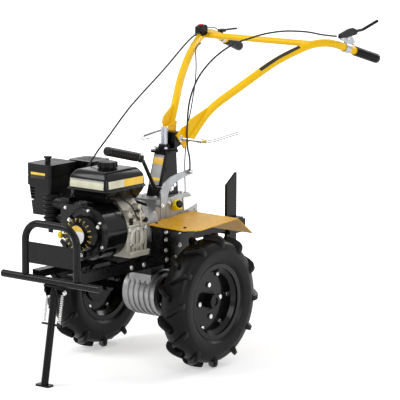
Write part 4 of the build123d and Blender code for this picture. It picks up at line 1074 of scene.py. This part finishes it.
@dataclass
class Handlebar:
    """Ribbed grips, the levers' bolts, the stop button, the lock rod and the tube's sticker."""

    bar_end: Point = (336.0, 962.0, 1060.0)
    run_start: Point = (282.0, 668.0, 1155.0)
    grip_length: float = 126.0
    tilt_y: float = 118.0
    tilt_z: float = 812.0
    sticker_line: tuple[Point, ...] = ((180.0, 418.0, 1043.0), (209.0, 487.0, 1084.0), (245.0, 577.0, 1122.0))
    sticker_side: Point = (0.4, -0.5, 0.75)

    def grips(self) -> None:
        """Two grips with rings of ribs, each with a rounded closed end."""
        tooth = ((0, 18.9), (0.8, 17.2), (3.2, 17.2), (4.0, 18.9))
        profile = [(0, 15.1), (0, 18.6), (1, 19)] + rib_profile(17, 5, 6.6, tooth) + [
            (118, 19), (127, 19), (129.5, 17.6), (130, 15), (130, 0)]
        for side, word, replaces in ((1, "left", ("grips",)), (-1, "right", ())):
            shape, mirror = Shape(), Vector((side, 1, 1))
            end = Vector(self.bar_end) * mirror
            way = (end - Vector(self.run_start) * mirror).normalized()
            shape.lathe(tuple(end - way * (self.grip_length - 0.2)), tuple(way), profile, 48)
            shape.finish(f"grip_{word}", Body.HANDLEBAR, GRIP_RUBBER, replaces, sharp=40)

    def fittings(self) -> None:
        """Bolts of the lever bracket and the cross bolt, and the switch's button."""
        bolts = Shape()
        bolts.bolt_heads([(308.3, 768, 1154), (308.3, 842, 1127), (308.3, 806, 1148)], (1, 0, 0), 5, 4)
        for side in (1, -1):
            bolts.bolt_heads([(side * 39.4, self.tilt_y, self.tilt_z)], (side, 0, 0), 9, 7)
        bolts.finish("handlebar_bolts", Body.HANDLEBAR, ZINC)
        button = Shape()
        button.lathe((-258, 614, 1176), (0, 0, 1), [(0, 0), (0, 8), (4.4, 8), (5.6, 6.6), (5.6, 0)], 32)
        button.finish("stop_button", Body.HANDLEBAR, SWITCH_RED)

    def lock_rod(self) -> None:
        """The cross bolt's long zinc handle with its brass end and the two thin rods beyond."""
        y, rod, tip = self.tilt_y, Shape(), Shape()
        rod.lathe((43, y, self.tilt_z), (1, 0, 0),
                  [(0, 0), (0, 6.5), (74, 6.5), (75, 8.5), (100, 8.5), (101, 6), (101, 0)])
        rod.finish("lock_rod", Body.HANDLEBAR, ZINC)
        tip.lathe((144, y, self.tilt_z), (1, 0, 0.05), [(0, 0), (0, 6.2), (11, 6.6), (14, 5), (14, 0)])
        tip.finish("lock_rod_tip", Body.HANDLEBAR, BRASS_SCREEN)
        for index, drop in enumerate((0.0, 7.0)):
            route = [(x, y, z - drop) for x, z in ((154, 813), (190, 820), (240, 838), (308, 862))]
            wire = Cable(f"lock_wire_{index}", route, 1.7).make()
            place_piece(wire, Body.HANDLEBAR, STEEL)

    def sticker(self) -> None:
        """A bare dark sticker on the left tube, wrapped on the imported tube's own surface."""
        tube = frame["nodes"]["handle_tubes"]
        surface = BVHTree.FromObject(tube, bpy.context.evaluated_depsgraph_get())
        line = [Vector(point) for point in self.sticker_line]
        shape, rings = Shape(), []
        for step in range(13):
            share = step / 6
            first, last = (line[0], line[1]) if share <= 1 else (line[1], line[2])
            middle = first.lerp(last, share if share <= 1 else share - 1)
            way = (last - first).normalized()
            out = (Vector(self.sticker_side) - way * Vector(self.sticker_side).dot(way)).normalized()
            skin = []
            for turn in range(-28, 29, 7):
                ray = Matrix.Rotation(radians(turn), 3, way) @ out
                hit = surface.ray_cast(at(*(middle + ray * 45)), -ray)[0]
                skin.append((Vector((hit.x, hit.y + MIDDLE_Y, hit.z)) / MM, ray))
            rings.append([tuple(spot + ray * 0.7) for spot, ray in skin]
                         + [tuple(spot - ray * 0.6) for spot, ray in reversed(skin)])
        shape.loft(rings)
        shape.finish("tube_sticker", Body.HANDLEBAR, LABEL_DARK)

    def build(self) -> None:
        """Make the handlebar's pieces."""
        self.grips()
        self.fittings()
        self.lock_rod()
        self.sticker()


@dataclass
class Controls:
    """The control cables as smooth curves, the gear lever's ribbed grip and the levers' bolts."""

    sleeve_foot: Point = (60.0, -139.0, 772.0)
    sleeve_way: Point = (0.0, -196.0, 48.0)

    def hang(self, name: str, radius: float, points: list[Point], pair: tuple[Body, Body],
             replaces: tuple[str, ...] = ()) -> None:
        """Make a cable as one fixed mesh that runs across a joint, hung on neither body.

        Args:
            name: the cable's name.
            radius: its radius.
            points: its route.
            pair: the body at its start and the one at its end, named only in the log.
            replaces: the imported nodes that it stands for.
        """
        curve = Cable(name, points, radius).make()
        data = bpy.data.meshes.new_from_object(curve)
        bpy.data.objects.remove(curve)
        data.shade_smooth()
        piece = bpy.data.objects.new(name, data)
        piece.data.materials.append(CABLE_SHEATH.material())
        bpy.context.scene.collection.objects.link(piece)
        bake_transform(piece)
        if replaces:
            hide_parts(*replaces)
        LOG.info("%s across %s and %s", name, pair[0].value, pair[1].value)

    def cables(self) -> None:
        """The cables from the handlebar over the turning head down to the gearbox and the engine."""
        over = (Body.HANDLEBAR, Body.HEAD)
        under = (Body.HEAD, Body.CHASSIS)
        self.hang("clutch_cable_upper", 3.4, [
            (302, 739, 1162), (288, 663, 1172), (275, 603, 1187), (262, 537, 1195), (250, 471, 1200),
            (238, 405, 1198), (227, 352, 1193), (214, 302, 1182), (203, 255, 1174), (188, 211, 1158),
            (170, 160, 1127), (152, 120, 1088), (136, 91, 1045), (121, 69, 980), (108.9, 69.1, 911.4),
            (99, 80, 847)], over, ("cables_upper",))
        self.hang("throttle_cable_upper", 3.4, [
            (-249, 598, 1152), (-246, 556, 1143), (-239, 512, 1126), (-231, 465, 1105), (-222, 400, 1070),
            (-210, 320, 1029), (-199, 240, 991), (-189, 165, 956), (-178, 84, 915)], over)
        self.hang("wire_upper", 2.4, [
            (-222, 568, 1112), (-206, 528, 1110), (-180, 480, 1093), (-150, 446, 1067), (-122, 412, 1040),
            (-98, 380, 1017), (-76, 348, 992), (-54, 315, 967), (-32, 277, 938), (-9, 240, 908),
            (9.6, 202, 869.5), (14, 188, 826)], over)
        self.hang("clutch_cable_lower", 3.4, [
            (99, 80, 847), (90.6, 89.8, 788.3), (92, 108, 744), (95, 103, 700)],
            under, ("cables_lower",))
        self.hang("throttle_cable_lower", 3.4, [
            (-178, 84, 915), (-167.3, 14.9, 875.6), (-152, -75, 820), (-138, -150, 780), (-124, -215, 737),
            (-126, -262, 690), (-138, -298, 628)], under)
        self.hang("wire_lower", 2.4, [
            (14, 188, 826), (19.4, 170.6, 771), (18, 168, 712), (18, 170, 655), (18, 172, 592)], under)
        lead = Cable("switch_lead", [(-259, 634.5, 1162), (-267, 690, 1163), (-281, 733, 1156),
                                     (-296, 768, 1145), (-303, 795, 1138)], 2.4).make()
        place_piece(lead, Body.HANDLEBAR, CABLE_SHEATH)

    def gear_grip(self) -> None:
        """The long ribbed grip of the gear lever."""
        way = Vector(self.sleeve_way).normalized()
        tooth = ((0, 17), (1.6, 13.4), (4.6, 13.4), (6.2, 17))
        profile = [(0, 8.1), (0, 15.5), (2, 17)] + rib_profile(16, 8, 10, tooth) + [
            (172, 17), (175, 15.5), (176, 12), (176, 0)]
        shape = Shape()
        shape.lathe(tuple(Vector(self.sleeve_foot) + way * 24), tuple(way), profile, 48)
        shape.finish("gear_lever_sleeve", Body.CHASSIS, GRIP_RUBBER, ("gear_lever_grip",), sharp=40)

    def bolts(self) -> None:
        """The bolts on which the levers on the gearbox turn."""
        shape = Shape()
        for place, along, across, high in (
                ((60, -139, 782.1), (0, 0, 1), 9, 7), ((68.4, 24, 640), (1, 0, 0), 8, 6),
                ((104.1, 103, 694), (1, 0, 0), 7, 6), ((92.1, -56, 588), (1, 0, 0), 6, 5)):
            shape.bolt_heads([place], along, across, high)
        shape.finish("lever_bolts", Body.CHASSIS, ZINC)

    def build(self) -> None:
        """Make the controls' pieces."""
        self.cables()
        self.gear_grip()
        self.bolts()


@dataclass
class CadDresser:
    """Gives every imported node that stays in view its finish."""

    by_slot: dict[str, Finish]
    by_node: dict[str, Finish]

    def dress(self) -> None:
        """Assign each node's finish, from its own entry or else its record slot."""
        slots = {part["node"]: part["material_slot"] for part in frame["record"]["subparts"]}
        for name, node in frame["nodes"].items():
            finish = self.by_node.get(name) or self.by_slot[slots[name]]
            node.data.materials.clear()
            node.data.materials.append(finish.material())
        LOG.info("dressed %d nodes", len(frame["nodes"]))


@dataclass
class Studio:
    """A white floor that keeps the shadow, a white background and soft lamps."""

    floor_reach: float = 30.0
    floor_colour: Colour = (0.8, 0.8, 0.8)
    glow: tuple[float, float, float, float] = (1.0, 2.6, 0.42, 1.0)
    world_level: float = 0.55
    lamps: dict[str, tuple] = field(default_factory=lambda: {
        "key": ((-2.6, -3.4, 4.2), 3.0, 150.0),
        "fill": ((4.6, -2.2, 2.6), 3.0, 80.0),
        "back": ((0.5, 4.6, 3.6), 2.6, 90.0),
    })
    aim: Point = (0.0, 0.0, 0.55)

    def floor(self) -> None:
        """A floor that is white to the camera and keeps the shadow."""
        shape = bmesh.new()
        bmesh.ops.create_grid(shape, x_segments=1, y_segments=1, size=self.floor_reach)
        mesh = bpy.data.meshes.new("studio_floor")
        shape.to_mesh(mesh)
        shape.free()
        sheet = NodeSheet("studio_floor")
        rays = sheet.add("ShaderNodeLightPath")
        shown = sheet.maths("MAXIMUM", rays.outputs["Is Camera Ray"], sheet.maths(
            "MAXIMUM", rays.outputs["Is Glossy Ray"], rays.outputs["Is Transmission Ray"]))
        reach = sheet.add("ShaderNodeVectorMath", operation="LENGTH")
        sheet.put(reach.inputs[0], sheet.place)
        glow = sheet.spread(reach.outputs["Value"], *self.glow)
        tone = sheet.blend(sheet.noise(1.5), self.floor_colour, shade_of(self.floor_colour, 1.02))
        sheet.set(Base_Color=tone, Roughness=1.0, Specular_IOR_Level=0.0, Emission_Color=grey(1.0),
                  Emission_Strength=sheet.maths("MULTIPLY", shown, glow))
        mesh.materials.append(sheet.material)
        floor = bpy.data.objects.new("studio_floor", mesh)
        bpy.context.scene.collection.objects.link(floor)

    def world(self) -> None:
        """White where the camera and reflections look past the floor, softer as a light."""
        world = bpy.data.worlds.new("studio_world")
        world.use_nodes = True
        tree = world.node_tree
        background = tree.nodes["Background"]
        background.inputs["Color"].default_value = (1, 1, 1, 1)
        rays = tree.nodes.new("ShaderNodeLightPath")
        shown = rays.outputs["Is Camera Ray"]
        for kind in ("Is Glossy Ray", "Is Transmission Ray"):
            either = tree.nodes.new("ShaderNodeMath")
            either.operation = "MAXIMUM"
            tree.links.new(shown, either.inputs[0])
            tree.links.new(rays.outputs[kind], either.inputs[1])
            shown = either.outputs["Value"]
        level = tree.nodes.new("ShaderNodeMapRange")
        level.inputs["To Min"].default_value = self.world_level
        level.inputs["To Max"].default_value = 1.0
        tree.links.new(shown, level.inputs["Value"])
        tree.links.new(level.outputs["Result"], background.inputs["Strength"])
        bpy.context.scene.world = world

    def light(self) -> None:
        """Hang the soft lamps, each aimed at the machine."""
        for name, (place, size, power) in self.lamps.items():
            data = bpy.data.lights.new(f"lamp_{name}", "AREA")
            data.shape = "DISK"
            data.size = size
            data.energy = power
            lamp = bpy.data.objects.new(f"lamp_{name}", data)
            lamp.location = place
            lamp.rotation_euler = (Vector(self.aim) - Vector(place)).to_track_quat("-Z", "Y").to_euler()
            bpy.context.scene.collection.objects.link(lamp)

    def build(self) -> None:
        """Make the floor, the world and the lamps."""
        self.floor()
        self.world()
        self.light()
        LOG.info("studio ready")


@dataclass
class Photographer:
    """The camera at the photograph's place, fitted to the machine's measured points."""

    azimuth_deg: float = 38.2
    elevation_deg: float = 9.8
    roll_deg: float = 0.3
    distance: float = 9.0
    target: Point = (0.2953, -0.0903 - MIDDLE_Y, 0.6364)
    focal_px: float = 2499.5
    frame_px: float = 400.0
    sensor: float = 36.0

    def build(self) -> None:
        """Place the camera and make it the scene's own."""
        turn, rise, roll = (radians(angle) for angle in (self.azimuth_deg, self.elevation_deg, self.roll_deg))
        back = Vector((sin(turn) * cos(rise), -cos(turn) * cos(rise), sin(rise)))
        right = Vector((0, 0, 1)).cross(back).normalized()
        up = back.cross(right)
        data = bpy.data.cameras.new("photo_camera")
        data.sensor_width = self.sensor
        data.lens = self.focal_px * self.sensor / self.frame_px
        data.clip_end = 200.0
        camera = bpy.data.objects.new("photo_camera", data)
        tilted_right = right * cos(roll) + up * sin(roll)
        tilted_up = up * cos(roll) - right * sin(roll)
        camera.matrix_world = Matrix.Translation(Vector(self.target) + back * self.distance) @ Matrix(
            (tilted_right, tilted_up, back)).transposed().to_4x4()
        bpy.context.scene.collection.objects.link(camera)
        bpy.context.scene.camera = camera
        LOG.info("camera ready")


def main() -> None:
    """Build the pieces in order, then the studio and the camera."""
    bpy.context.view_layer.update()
    CadDresser(SLOT_FINISH, NODE_FINISH).dress()
    for assembly in (Wheel(1), Wheel(-1), Engine(), Frame(), Stand(), Transmission(), Column(), Head(),
                     Fenders(), Handlebar(), Controls()):
        assembly.build()
    Studio().build()
    Photographer().build()
    bpy.context.scene.view_settings.view_transform = "Standard"
    LOG.info("sizes written")


if __name__ == "__main__":
    main()
